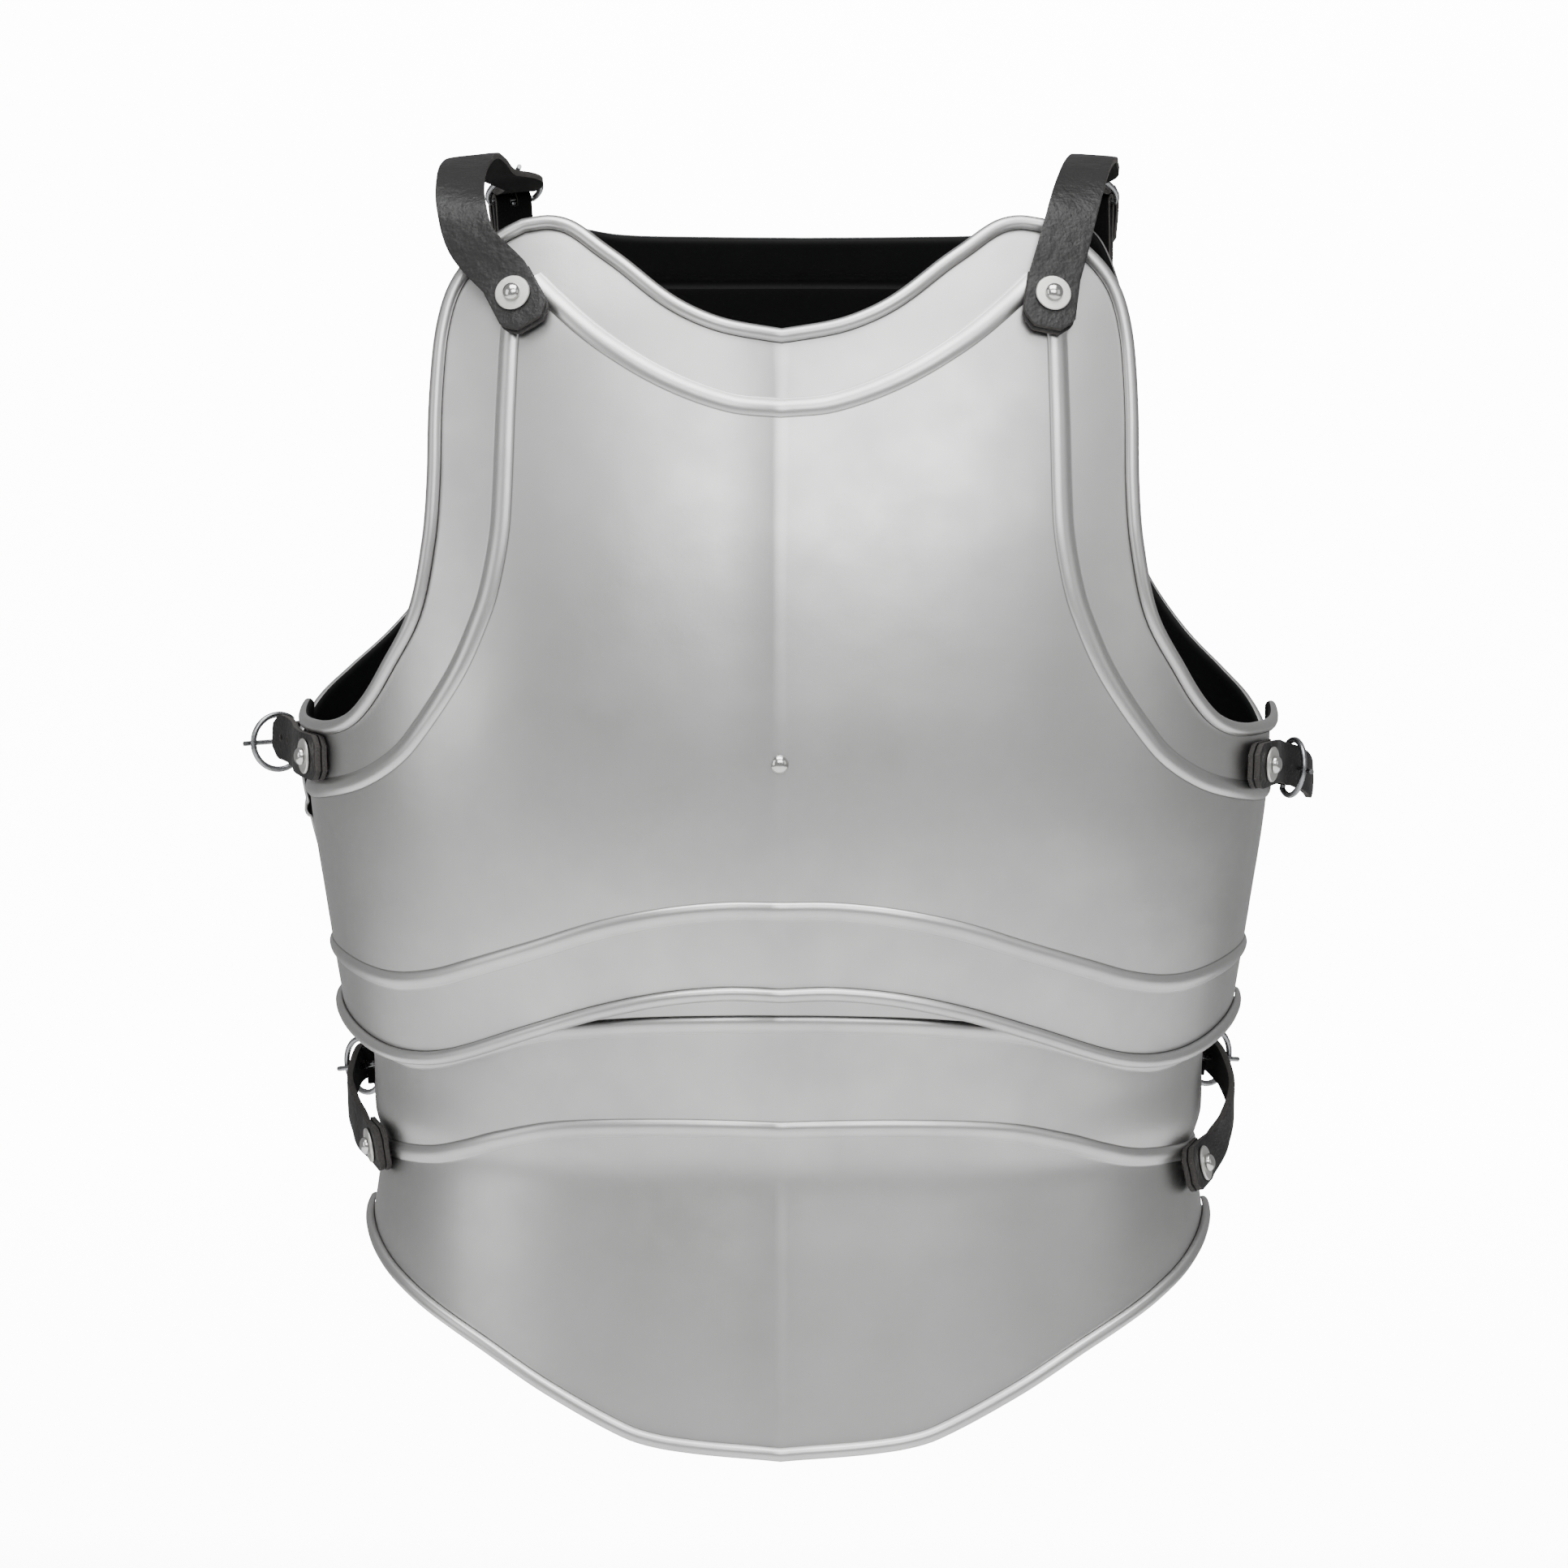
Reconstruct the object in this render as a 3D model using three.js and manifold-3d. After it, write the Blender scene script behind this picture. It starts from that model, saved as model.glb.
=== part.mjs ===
// Steel breastplate: two front plates and a back plate, held together by six riveted leather
// straps with wire buckles. Millimetres, +Z up, the chest faces -Y. The origin lies between the two
// shoulder straps, level with the crown of their arches.
//
// A point of a plate is given by its girth and its height. The girth is measured round the
// body from the middle line, on a nominal circle, and the section tables turn it into a place.
import * as THREE from "three";
import { mergeVertices } from "three/addons/utils/BufferGeometryUtils.js";
import Module from "manifold-3d";

const wasm = await Module();
wasm.setup();

// Driving dimensions
const GIRTH_RADIUS = 172;      // nominal circle on which girths are measured
const SQUARENESS = 0.05;       // how much fuller than an ellipse a section is at its corners
const STEEL = 1.4;             // plate thickness
const ROLL_RADIUS = 2.9;       // rolled edge, outer radius
const BEAD_HALF_WIDTH = 3.8;   // embossed bead
const BEAD_HEIGHT = 2;
const RIDGE_HEIGHT = 2.4;      // medial ridge of the front plates
const RIDGE_WIDTH = 20;
const LEATHER = 2.6;           // strap thickness
const BACKING = 2.2;           // second leather layer under a strap's riveted end
const CLIP = 5;                // length of a strap end's clipped corners
const CLIPPED = 0.55;          // width left at the very end
const CHAPE = 2;               // leather that carries a buckle
const CHAPE_WIDTH = 16.5;
const GAP = 0.3;               // clearance between pieces
const WASHER_RADIUS = 7.5;
const WASHER_THICKNESS = 1.2;
const DOME_RADIUS = 3.8;
const DOME_HEIGHT = 3;
const SHANK_RADIUS = 1.9;
const TAIL_RADIUS = 3.6;       // rivet's closed head on the inside
const TAIL_THICKNESS = 1.2;
const BUCKLE_RADIUS = 12;      // wire centre line
const BAR_OFFSET = 6.6;        // straight bar, from the centre of the buckle's round
const PRONG_WIRE = 1.1;

const STEEL_LOOK = { color: 0xc6c7c8, roughness: 0.38, metalness: 1 };
const BLACK_LEATHER_LOOK = { color: 0x2b2b2b, roughness: 0.55, metalness: 0 };
const ZINC_LOOK = { color: 0xd9d9d6, roughness: 0.42, metalness: 1 };
const RIVET_LOOK = { color: 0xd4d4d2, roughness: 0.2, metalness: 1 };
const WIRE_LOOK = { color: 0x8d8f91, roughness: 0.3, metalness: 1 };

// Sections of each plate: height, half width, depth from the middle plane, sideways shift
const CHEST_SECTIONS = [
  { z: 0, half: 184, depth: 58, shift: 0 },
  { z: -40, half: 192, depth: 80, shift: 0 },
  { z: -80, half: 199, depth: 98, shift: 0 },
  { z: -150, half: 205, depth: 118, shift: 0 },
  { z: -220, half: 207, depth: 129, shift: 0 },
  { z: -270, half: 206, depth: 131, shift: 0 },
  { z: -320, half: 199, depth: 127, shift: 0 },
  { z: -370, half: 191, depth: 118, shift: 0 },
];
const BELLY_SECTIONS = [
  { z: -230, half: 197, depth: 128, shift: 0 },
  { z: -250, half: 196, depth: 127.6, shift: 0 },
  { z: -300, half: 189, depth: 123, shift: 0 },
  { z: -350, half: 182, depth: 114, shift: 0 },
  { z: -390, half: 179, depth: 109, shift: 0 },
  { z: -410, half: 178.6, depth: 106.5, shift: 0 },
  { z: -424, half: 175, depth: 106, shift: 0 },
  { z: -440, half: 177.5, depth: 108, shift: 0 },
  { z: -460, half: 180, depth: 111, shift: 0 },
  { z: -500, half: 181, depth: 116, shift: 0 },
  { z: -540, half: 182, depth: 120, shift: 0 },
];
const BACK_SECTIONS = [
  { z: 0, half: 183, depth: 92, shift: 6 },
  { z: -40, half: 189, depth: 101, shift: 5.5 },
  { z: -80, half: 195, depth: 112, shift: 4 },
  { z: -120, half: 200, depth: 122, shift: 2 },
  { z: -170, half: 205, depth: 131, shift: 0 },
  { z: -220, half: 209, depth: 136, shift: -2.5 },
  { z: -262, half: 210, depth: 136, shift: -3.5 },
  { z: -318, half: 197, depth: 128, shift: -3.5 },
  { z: -360, half: 185, depth: 118, shift: -3 },
  { z: -400, half: 176, depth: 113, shift: -2 },
  { z: -424, half: 174, depth: 113, shift: -1 },
  { z: -445, half: 176, depth: 117, shift: 0 },
  { z: -470, half: 178, depth: 122, shift: 0 },
];

// Outlines and bead lines of one half: girth, height
const CHEST = {
  side: -1,
  sections: CHEST_SECTIONS,
  ridge: RIDGE_HEIGHT,
  sideGirth: 282,
  neckEdge: [[0, -71.5], [19, -67.8], [31, -63], [41.5, -56.5], [57.5, -43.3], [67, -36.3], [75.5, -30],
    [82, -26.7], [90, -25.4], [100.5, -27]],
  armEdge: [[100.5, -27], [109, -31.5], [117.5, -38.5], [124.5, -46.5], [129, -55], [131.3, -65],
    [132.3, -80], [131.8, -105], [130.3, -135], [131.2, -160], [137, -189], [151, -212], [161, -224.5],
    [172, -232.5], [188, -236.8], [215, -238], [250, -237.5], [282, -234]],
  neckBead: [[0, -103.5], [18, -101.5], [41, -92], [64, -77], [84, -60], [99, -46]],
  armBead: [[99, -46], [100, -65], [99.3, -100], [98.8, -149], [101, -170], [105, -187.5], [116.3, -214.5],
    [136, -242.5], [150, -253.5], [170, -261.5], [204, -267], [240, -269.3], [282, -269]],
  waistBead: [[0, -309], [20, -309.4], [41, -312.2], [64, -318], [90, -327.6], [117.5, -337], [134, -342],
    [153, -345], [172, -345], [215, -340.5], [245, -338.3], [282, -337.7]],
  bottomEdge: [[0, -347.3], [20, -347], [42, -349.6], [66, -355.7], [92, -364.8], [122, -375.5],
    [140, -379.8], [160, -381], [182, -379], [222, -371.5], [252, -366.5], [282, -364]],
};
const BACK = {
  side: 1,
  sections: BACK_SECTIONS,
  ridge: 0,
  sideGirth: 252,
  neckEdge: [[0, -37], [45, -36.5], [75, -35.5], [92, -32.5], [102, -30.5], [111, -30]],
  armEdge: [[111, -30], [117.5, -32], [122.5, -37], [126.5, -45], [129.5, -54], [131.8, -64],
    [133.3, -76], [133.3, -100], [130.5, -140], [133, -166], [142, -188], [162, -210], [187, -225], [211, -235.5], [232, -246],
    [252, -259]],
  neckBead: [[0, -56], [60, -56], [84, -55], [108, -52]],
  armBead: [[108, -52], [107, -75], [105, -100], [103, -135], [104, -158], [108, -180], [120, -207],
    [143, -232], [172, -249], [205, -262], [252, -283]],
  waistBead: [[0, -400], [100, -401], [180, -404], [252, -406]],
  bottomEdge: [[0, -470], [100, -469.5], [180, -466], [252, -462]],
};
const BELLY = {
  side: -1,
  sections: BELLY_SECTIONS,
  ridge: RIDGE_HEIGHT,
  sideGirth: 282,
  topEdge: [[0, -233], [35, -240], [90, -272], [150, -296], [220, -304], [282, -304]],
  upperBead: [[0, -358], [45, -359.3], [72, -361.5], [100, -365], [132, -374], [152, -379], [175, -381],
    [240, -377], [282, -376]],
  lowerBead: [[0, -403.5], [50, -403.3], [91, -405.8], [119, -411.7], [138, -416.8], [160, -421],
    [192, -423], [240, -424.5], [282, -424.5]],
  bottomEdge: [[0, -540.5], [20, -539.4], [36, -538], [50, -536], [62, -532.5], [94, -516.5],
    [128, -498.7], [169.6, -482.6], [193, -475], [218, -467.5], [245, -461], [282, -456]],
};

// A smooth value or line through the rows of a table
function slopeAt(knots, values, i) {
  const last = knots.length - 1;
  const before = Math.max(i - 1, 0);
  const after = Math.min(i + 1, last);
  return (values[after] - values[before]) / (knots[after] - knots[before]);
}

function smoothValue(knots, values, at) {
  const last = knots.length - 1;
  const down = knots[last] < knots[0];
  const order = down ? -1 : 1;
  if ((at - knots[0]) * order <= 0) return values[0] + (at - knots[0]) * slopeAt(knots, values, 0);
  if ((at - knots[last]) * order >= 0) return values[last] + (at - knots[last]) * slopeAt(knots, values, last);
  let i = 0;
  while ((at - knots[i + 1]) * order > 0) i += 1;
  const step = knots[i + 1] - knots[i];
  const t = (at - knots[i]) / step;
  const t2 = t * t;
  const t3 = t2 * t;
  const start = (2 * t3 - 3 * t2 + 1) * values[i] + (t3 - 2 * t2 + t) * slopeAt(knots, values, i) * step;
  const end = (3 * t2 - 2 * t3) * values[i + 1] + (t3 - t2) * slopeAt(knots, values, i + 1) * step;
  return start + end;
}

function linePoints(rows, shares) {
  const knots = [0];
  for (let i = 1; i < rows.length; i += 1) {
    knots.push(knots[i - 1] + Math.hypot(rows[i][0] - rows[i - 1][0], rows[i][1] - rows[i - 1][1]));
  }
  const length = knots[knots.length - 1];
  const girths = rows.map((row) => row[0]);
  const heights = rows.map((row) => row[1]);
  return shares.map((share) => ({
    g: smoothValue(knots, girths, share * length),
    z: smoothValue(knots, heights, share * length),
  }));
}

function evenShares(steps) {
  return Array.from({ length: steps + 1 }, (_, i) => i / steps);
}

// Place and outward direction on a plate
function bodyPoint(plate, g, z) {
  const heights = plate.sections.map((row) => row.z);
  const half = smoothValue(heights, plate.sections.map((row) => row.half), z);
  const depth = smoothValue(heights, plate.sections.map((row) => row.depth), z);
  const shift = smoothValue(heights, plate.sections.map((row) => row.shift), z);
  const angle = g / GIRTH_RADIUS;
  const fuller = 1 + SQUARENESS * Math.sin(2 * angle) ** 2;
  const x = half * Math.sin(angle) * fuller + shift;
  const y = plate.side * depth * Math.cos(angle) * fuller;
  return new THREE.Vector3(x, y, z);
}

function outward(plate, g, z) {
  const step = 0.5;
  const round = bodyPoint(plate, g + step, z).sub(bodyPoint(plate, g - step, z));
  const up = bodyPoint(plate, g, z + step).sub(bodyPoint(plate, g, z - step));
  return round.cross(up).multiplyScalar(-plate.side).normalize();
}

function platePoint(plate, g, z, lift) {
  const point = bodyPoint(plate, g, z).addScaledVector(outward(plate, g, z), lift);
  const nearRidge = Math.max(0, 1 - Math.abs(g) / RIDGE_WIDTH);
  point.y += plate.side * plate.ridge * nearRidge ** 2;
  return point;
}

// A flat frame on a plate: across runs round the body, up rises along it, out points outward
function frameOn(plate, g, z) {
  const out = outward(plate, g, z);
  const up = new THREE.Vector3(0, 0, 1);
  up.addScaledVector(out, -up.dot(out)).normalize();
  const across = new THREE.Vector3().crossVectors(up, out);
  return { origin: bodyPoint(plate, g, z), across, up, out };
}

// Closed bodies from loose triangles: joins their corners and turns every face outwards
function closedBody(corners) {
  const loose = new THREE.BufferGeometry();
  loose.setAttribute("position", new THREE.Float32BufferAttribute(corners.flatMap((p) => p.toArray()), 3));
  const geometry = mergeVertices(loose, 1e-3);
  const index = Array.from(geometry.index.array);
  const faces = [];
  for (let i = 0; i < index.length; i += 3) {
    const face = index.slice(i, i + 3);
    if (new Set(face).size === 3) faces.push(face);
  }
  const byEdge = new Map();
  const edgeKey = (a, b) => (a < b ? `${a}_${b}` : `${b}_${a}`);
  faces.forEach((face, f) => {
    for (let k = 0; k < 3; k += 1) {
      const key = edgeKey(face[k], face[(k + 1) % 3]);
      byEdge.set(key, [...(byEdge.get(key) ?? []), f]);
    }
  });
  const runs = (face, a, b) => [0, 1, 2].some((k) => face[k] === a && face[(k + 1) % 3] === b);
  const turned = new Set([0]);
  const queue = [0];
  while (queue.length > 0) {
    const face = faces[queue.pop()];
    for (let k = 0; k < 3; k += 1) {
      const a = face[k];
      const b = face[(k + 1) % 3];
      for (const next of byEdge.get(edgeKey(a, b))) {
        if (turned.has(next)) continue;
        if (runs(faces[next], a, b)) faces[next].reverse();
        turned.add(next);
        queue.push(next);
      }
    }
  }
  const place = (i) => new THREE.Vector3().fromBufferAttribute(geometry.attributes.position, i);
  const volume = faces.reduce((sum, [a, b, c]) => sum + place(a).dot(place(b).cross(place(c))), 0);
  if (volume < 0) faces.forEach((face) => face.reverse());
  geometry.setIndex(faces.flat());
  return geometry;
}

function toManifold(geometry) {
  const bare = geometry.clone();
  bare.deleteAttribute("normal");
  bare.deleteAttribute("uv");
  const merged = mergeVertices(bare, 1e-3);
  const vertProperties = new Float32Array(merged.attributes.position.array);
  const triVerts = new Uint32Array(merged.index.array);
  return new wasm.Manifold(new wasm.Mesh({ numProp: 3, vertProperties, triVerts }));
}

function toGeometry(manifold) {
  const mesh = manifold.getMesh();
  const geometry = new THREE.BufferGeometry();
  geometry.setAttribute("position", new THREE.Float32BufferAttribute(mesh.vertProperties, 3));
  geometry.setIndex(Array.from(mesh.triVerts));
  return geometry;
}

function withHoles(geometry, cutters) {
  return toGeometry(cutters.reduce((solid, cutter) => solid.subtract(toManifold(cutter)), toManifold(geometry)));
}

// Moves a line of girth and height points sideways, to the left of its direction
function movedLine(line, distance, sideGirth) {
  const last = line.length - 1;
  return line.map((point, i) => {
    const before = line[Math.max(i - 1, 0)];
    const after = line[Math.min(i + 1, last)];
    const back = Math.hypot(point.g - before.g, point.z - before.z) || 1;
    const ahead = Math.hypot(after.g - point.g, after.z - point.z) || 1;
    const dg = (point.g - before.g) / back + (after.g - point.g) / ahead;
    const dz = (point.z - before.z) / back + (after.z - point.z) / ahead;
    const size = Math.hypot(dg, dz);
    const sharp = i > 0 && i < last ? Math.min(2 / size, 1.5) : 1;
    const g = point.g - (dz / size) * distance * sharp;
    const z = point.z + (dg / size) * distance * sharp;
    return { g: i === 0 ? 0 : i === last ? sideGirth : g, z };
  });
}

function between(lineA, lineB, share) {
  return lineA.map((a, i) => ({
    g: a.g + (lineB[i].g - a.g) * share,
    z: a.z + (lineB[i].z - a.z) * share,
  }));
}

const lifted = (line, lift, rolled = false) => line.map(({ g, z }) => ({ g, z, lift, rolled }));

// Lines from a bead's near crease, over the bead, to the crease of a rolled edge
function bandLines(bead, edge, toEdge, sideGirth) {
  const nearCrease = movedLine(bead, -toEdge * BEAD_HALF_WIDTH, sideGirth);
  const farCrease = movedLine(bead, toEdge * BEAD_HALF_WIDTH, sideGirth);
  const rollCrease = movedLine(edge, -toEdge * 2 * ROLL_RADIUS, sideGirth);
  return [
    lifted(nearCrease, 0),
    lifted(bead, BEAD_HEIGHT),
    lifted(farCrease, 0),
    lifted(between(farCrease, rollCrease, 0.5), 0),
    lifted(rollCrease, 0, true),
  ];
}

// The rolled edge's own section: distance in from the edge, height over the plate's outer face
const ROLL_SECTION = [
  { inwards: 1.85 * ROLL_RADIUS, lift: 1.05 * ROLL_RADIUS },
  { inwards: ROLL_RADIUS, lift: 2 * ROLL_RADIUS - STEEL },
  { inwards: 0.15 * ROLL_RADIUS, lift: 1.1 * ROLL_RADIUS },
  { inwards: 0.25 * ROLL_RADIUS, lift: 0 },
  { inwards: ROLL_RADIUS, lift: -STEEL },
];

function rollLines(edge, toEdge, sideGirth) {
  return ROLL_SECTION.map(({ inwards, lift }) => lifted(movedLine(edge, -toEdge * inwards, sideGirth), lift));
}

// Fills a four-sided field between its top, right, bottom and left lines
function field(top, right, bottom, left) {
  const columns = top.length - 1;
  const rows = left.length - 1;
  const blend = (i, j, key) => {
    const u = j / columns;
    const v = i / rows;
    const across = left[i][key] * (1 - u) + right[i][key] * u;
    const down = top[j][key] * (1 - v) + bottom[j][key] * v;
    const upper = top[0][key] * (1 - u) + top[columns][key] * u;
    const lower = bottom[0][key] * (1 - u) + bottom[columns][key] * u;
    return across + down - upper * (1 - v) - lower * v;
  };
  return left.map((_, i) => top.map((__, j) => ({ g: blend(i, j, "g"), z: blend(i, j, "z"), lift: 0 })));
}

function straightLine(from, to, steps) {
  return evenShares(steps).map((t) => ({ g: from.g + (to.g - from.g) * t, z: from.z + (to.z - from.z) * t }));
}

// A plate from the patches of one half and the lines of its rolled edges
function plateBody(plate, patches, rolls) {
  const corners = [];
  const quad = (a, b, c, d) => corners.push(a, b, c, a, c, d);
  for (const mirror of [-1, 1]) {
    const spot = (p, drop) => platePoint(plate, mirror * p.g, p.z, p.lift - drop);
    const keyOf = (p) => `${p.g.toFixed(2)} ${p.z.toFixed(2)}`;
    const borders = new Map();
    for (const rows of patches) {
      for (let i = 1; i < rows.length; i += 1) {
        for (let j = 1; j < rows[i].length; j += 1) {
          const ring = [rows[i - 1][j - 1], rows[i - 1][j], rows[i][j], rows[i][j - 1]];
          for (const drop of [0, STEEL]) quad(...ring.map((p) => spot(p, drop)));
          ring.forEach((a, k) => {
            const b = ring[(k + 1) % 4];
            const key = [keyOf(a), keyOf(b)].sort().join(" ");
            if (borders.has(key)) borders.set(key, null);
            else borders.set(key, [a, b]);
          });
        }
      }
    }
    for (const border of borders.values()) {
      if (border === null) continue;
      const [a, b] = border;
      const middle = a.g === 0 && b.g === 0;
      if (middle || (a.rolled && b.rolled)) continue;
      quad(spot(a, 0), spot(b, 0), spot(b, STEEL), spot(a, STEEL));
    }
    for (const { crease, lines } of rolls) {
      const rows = [crease.map((p) => spot(p, 0)), ...lines.map((line) => line.map((p) => spot(p, 0))),
        crease.map((p) => spot(p, STEEL))];
      for (let i = 1; i < rows.length; i += 1) {
        for (let j = 1; j < crease.length; j += 1) {
          quad(rows[i - 1][j - 1], rows[i - 1][j], rows[i][j], rows[i][j - 1]);
        }
      }
      const end = rows.map((row) => row[row.length - 1]);
      for (let i = 2; i < end.length; i += 1) corners.push(end[0], end[i - 1], end[i]);
    }
  }
  return closedBody(corners);
}

// A plate with a neck, two arm openings, a waist bead and a rolled bottom
function shoulderedPlate(plate) {
  const { sideGirth } = plate;
  const neckSteps = 6;
  const armSteps = 9;
  const uprightSteps = 5;      // of the arm's steps, those before it turns under the arm
  const yokeSteps = 5;
  const sideSteps = 3;
  const neckShares = evenShares(neckSteps);
  const armShares = evenShares(armSteps);
  const bead = [...linePoints(plate.neckBead, neckShares), ...linePoints(plate.armBead, armShares).slice(1)];
  const edge = [...linePoints(plate.neckEdge, neckShares), ...linePoints(plate.armEdge, armShares).slice(1)];
  const upper = bandLines(bead, edge, 1, sideGirth);
  const crease = upper[0];
  const turn = neckSteps + uprightSteps;
  const centreTurn = { g: 0, z: crease[turn].z };
  const yokeLine = straightLine(centreTurn, crease[turn], neckSteps);
  const yoke = field(crease.slice(0, neckSteps + 1), crease.slice(neckSteps, turn + 1), yokeLine,
    straightLine(crease[0], centreTurn, yokeSteps));
  const panelTop = [...yokeLine, ...crease.slice(turn + 1)];
  const lowerShares = panelTop.map(({ g }) => g / sideGirth);
  const waist = linePoints(plate.waistBead, lowerShares);
  const bottom = linePoints(plate.bottomEdge, lowerShares);
  const lower = bandLines(waist, bottom, -1, sideGirth);
  const last = panelTop.length - 1;
  const panel = field(panelTop, straightLine(panelTop[last], lower[0][last], sideSteps), lower[0],
    straightLine(centreTurn, lower[0][0], sideSteps));
  const rolls = [
    { crease: upper[4], lines: rollLines(edge, 1, sideGirth) },
    { crease: lower[4], lines: rollLines(bottom, -1, sideGirth) },
  ];
  return plateBody(plate, [upper, yoke, panel, lower], rolls);
}

// The lower front plate: plain top edge, two beads, rolled bottom
function skirtedPlate(plate) {
  const { sideGirth } = plate;
  const shares = evenShares(8);
  const top = linePoints(plate.topEdge, shares);
  const upper = linePoints(plate.upperBead, shares);
  const lower = linePoints(plate.lowerBead, shares);
  const bottom = linePoints(plate.bottomEdge, shares);
  const beadRows = (bead) => [
    lifted(movedLine(bead, BEAD_HALF_WIDTH, sideGirth), 0),
    lifted(bead, BEAD_HEIGHT),
    lifted(movedLine(bead, -BEAD_HALF_WIDTH, sideGirth), 0),
  ];
  const upperRows = beadRows(upper);
  const lowerRows = beadRows(lower);
  const crease = lifted(movedLine(bottom, 2 * ROLL_RADIUS, sideGirth), 0, true);
  const rows = [
    lifted(top, 0),
    lifted(between(top, upperRows[0], 0.5), 0),
    ...upperRows,
    lifted(between(upperRows[2], lowerRows[0], 0.5), 0),
    ...lowerRows,
    lifted(between(lowerRows[2], crease, 0.33), 0),
    lifted(between(lowerRows[2], crease, 0.67), 0),
    crease,
  ];
  return plateBody(plate, [rows], [{ crease, lines: rollLines(bottom, -1, sideGirth) }]);
}

// Round pieces stand on a frame's outward direction
function roundBody(frame, profile, sides) {
  const lathe = new THREE.LatheGeometry(profile.map(([radius, height]) => new THREE.Vector2(radius, height)), sides);
  const basis = new THREE.Matrix4().makeBasis(frame.across, frame.out, frame.up.clone().negate());
  basis.setPosition(frame.origin);
  lathe.applyMatrix4(basis);
  const flat = lathe.index ? lathe.toNonIndexed() : lathe;
  const position = flat.attributes.position;
  const corners = Array.from({ length: position.count }, (_, i) => new THREE.Vector3().fromBufferAttribute(position, i));
  return closedBody(corners);
}

// A six-sided cutter whose flats clear a rivet's shank
function pinCutter(frame, reach) {
  const radius = (SHANK_RADIUS + GAP / 2) / Math.cos(Math.PI / 6);
  return roundBody(frame, [[0, -reach], [radius, -reach], [radius, reach], [0, reach]], 6);
}

// Bars of constant section: rings of corners joined in order and capped
function loft(rings) {
  const corners = [];
  for (let i = 1; i < rings.length; i += 1) {
    rings[i].forEach((_, k) => {
      const n = (k + 1) % rings[i].length;
      corners.push(rings[i - 1][k], rings[i - 1][n], rings[i][n], rings[i - 1][k], rings[i][n], rings[i][k]);
    });
  }
  for (const ring of [rings[0], rings[rings.length - 1]]) {
    for (let k = 2; k < ring.length; k += 1) corners.push(ring[0], ring[k - 1], ring[k]);
  }
  return closedBody(corners);
}

// A strap through stations: centre, direction of its width, and its share of the full width
function strap(stations, width, thickness) {
  const rings = stations.map(({ at, wide, share = 1 }, i) => {
    const before = stations[Math.max(i - 1, 0)].at;
    const after = stations[Math.min(i + 1, stations.length - 1)].at;
    const along = after.clone().sub(before).normalize();
    const side = wide.clone().addScaledVector(along, -wide.dot(along)).normalize().multiplyScalar((width * share) / 2);
    const out = new THREE.Vector3().crossVectors(along, side).normalize().multiplyScalar(thickness / 2);
    return [
      at.clone().add(side).add(out),
      at.clone().sub(side).add(out),
      at.clone().sub(side).sub(out),
      at.clone().add(side).sub(out),
    ];
  });
  return loft(rings);
}

// Stations on a smooth curve through the rows of a strap's table, each row among them
function stationsThrough(rows, spacing) {
  const knots = [0];
  for (let i = 1; i < rows.length; i += 1) knots.push(knots[i - 1] + rows[i].at.distanceTo(rows[i - 1].at));
  const read = (vector, at) => new THREE.Vector3(...["x", "y", "z"].map((axis) => (
    smoothValue(knots, rows.map((row) => row[vector][axis]), at))));
  const places = [0];
  for (let i = 1; i < knots.length; i += 1) {
    const gap = knots[i] - knots[i - 1];
    const parts = Math.max(1, Math.round(gap / spacing));
    for (let k = 1; k <= parts; k += 1) places.push(knots[i - 1] + (gap * k) / parts);
  }
  const length = knots[knots.length - 1];
  places.splice(places.length - 1, 0, length - CLIP);
  return places.map((place) => ({ at: read("at", place), wide: read("wide", place), share: place === length ? CLIPPED : 1 }));
}

function wireAlong(points, radius, sides, closed) {
  const count = points.length;
  const rings = points.map((point, i) => {
    const before = closed ? points[(i + count - 1) % count] : points[Math.max(i - 1, 0)];
    const after = closed ? points[(i + 1) % count] : points[Math.min(i + 1, count - 1)];
    const along = after.clone().sub(before).normalize();
    return { point, along };
  });
  const flat = new THREE.Vector3().crossVectors(points[1].clone().sub(points[0]),
    points[Math.floor((2 * count) / 3)].clone().sub(points[0])).normalize();
  const circles = rings.map(({ point, along }) => {
    const side = new THREE.Vector3().crossVectors(along, flat).normalize();
    return Array.from({ length: sides }, (_, k) => {
      const turn = (2 * Math.PI * (k + 0.5)) / sides;
      return point.clone().addScaledVector(side, radius * Math.cos(turn)).addScaledVector(flat, radius * Math.sin(turn));
    });
  });
  if (!closed) return loft(circles);
  const corners = [];
  circles.forEach((ring, i) => {
    const next = circles[(i + 1) % count];
    ring.forEach((_, k) => {
      const n = (k + 1) % sides;
      corners.push(ring[k], ring[n], next[n], ring[k], next[n], next[k]);
    });
  });
  return closedBody(corners);
}

// A place in the plane of a fastening: ahead along it, out from the plate, across its width
const inPlane = (frame, ahead, out, across = 0) => frame.origin.clone()
  .addScaledVector(frame.ahead, ahead)
  .addScaledVector(frame.out, out)
  .addScaledVector(frame.across, across);

const BAR_WIRE = 1.3;
const FOLD_RADIUS = BAR_WIRE + GAP + CHAPE / 2;
const CHAPE_BEHIND = 8;        // leather past the rivet
const CHAPE_AHEAD = 4;         // where its two layers part
const CHAPE_SEAT = GAP + CHAPE / 2;
const CHAPE_TOP = CHAPE_SEAT + CHAPE + GAP;

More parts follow.
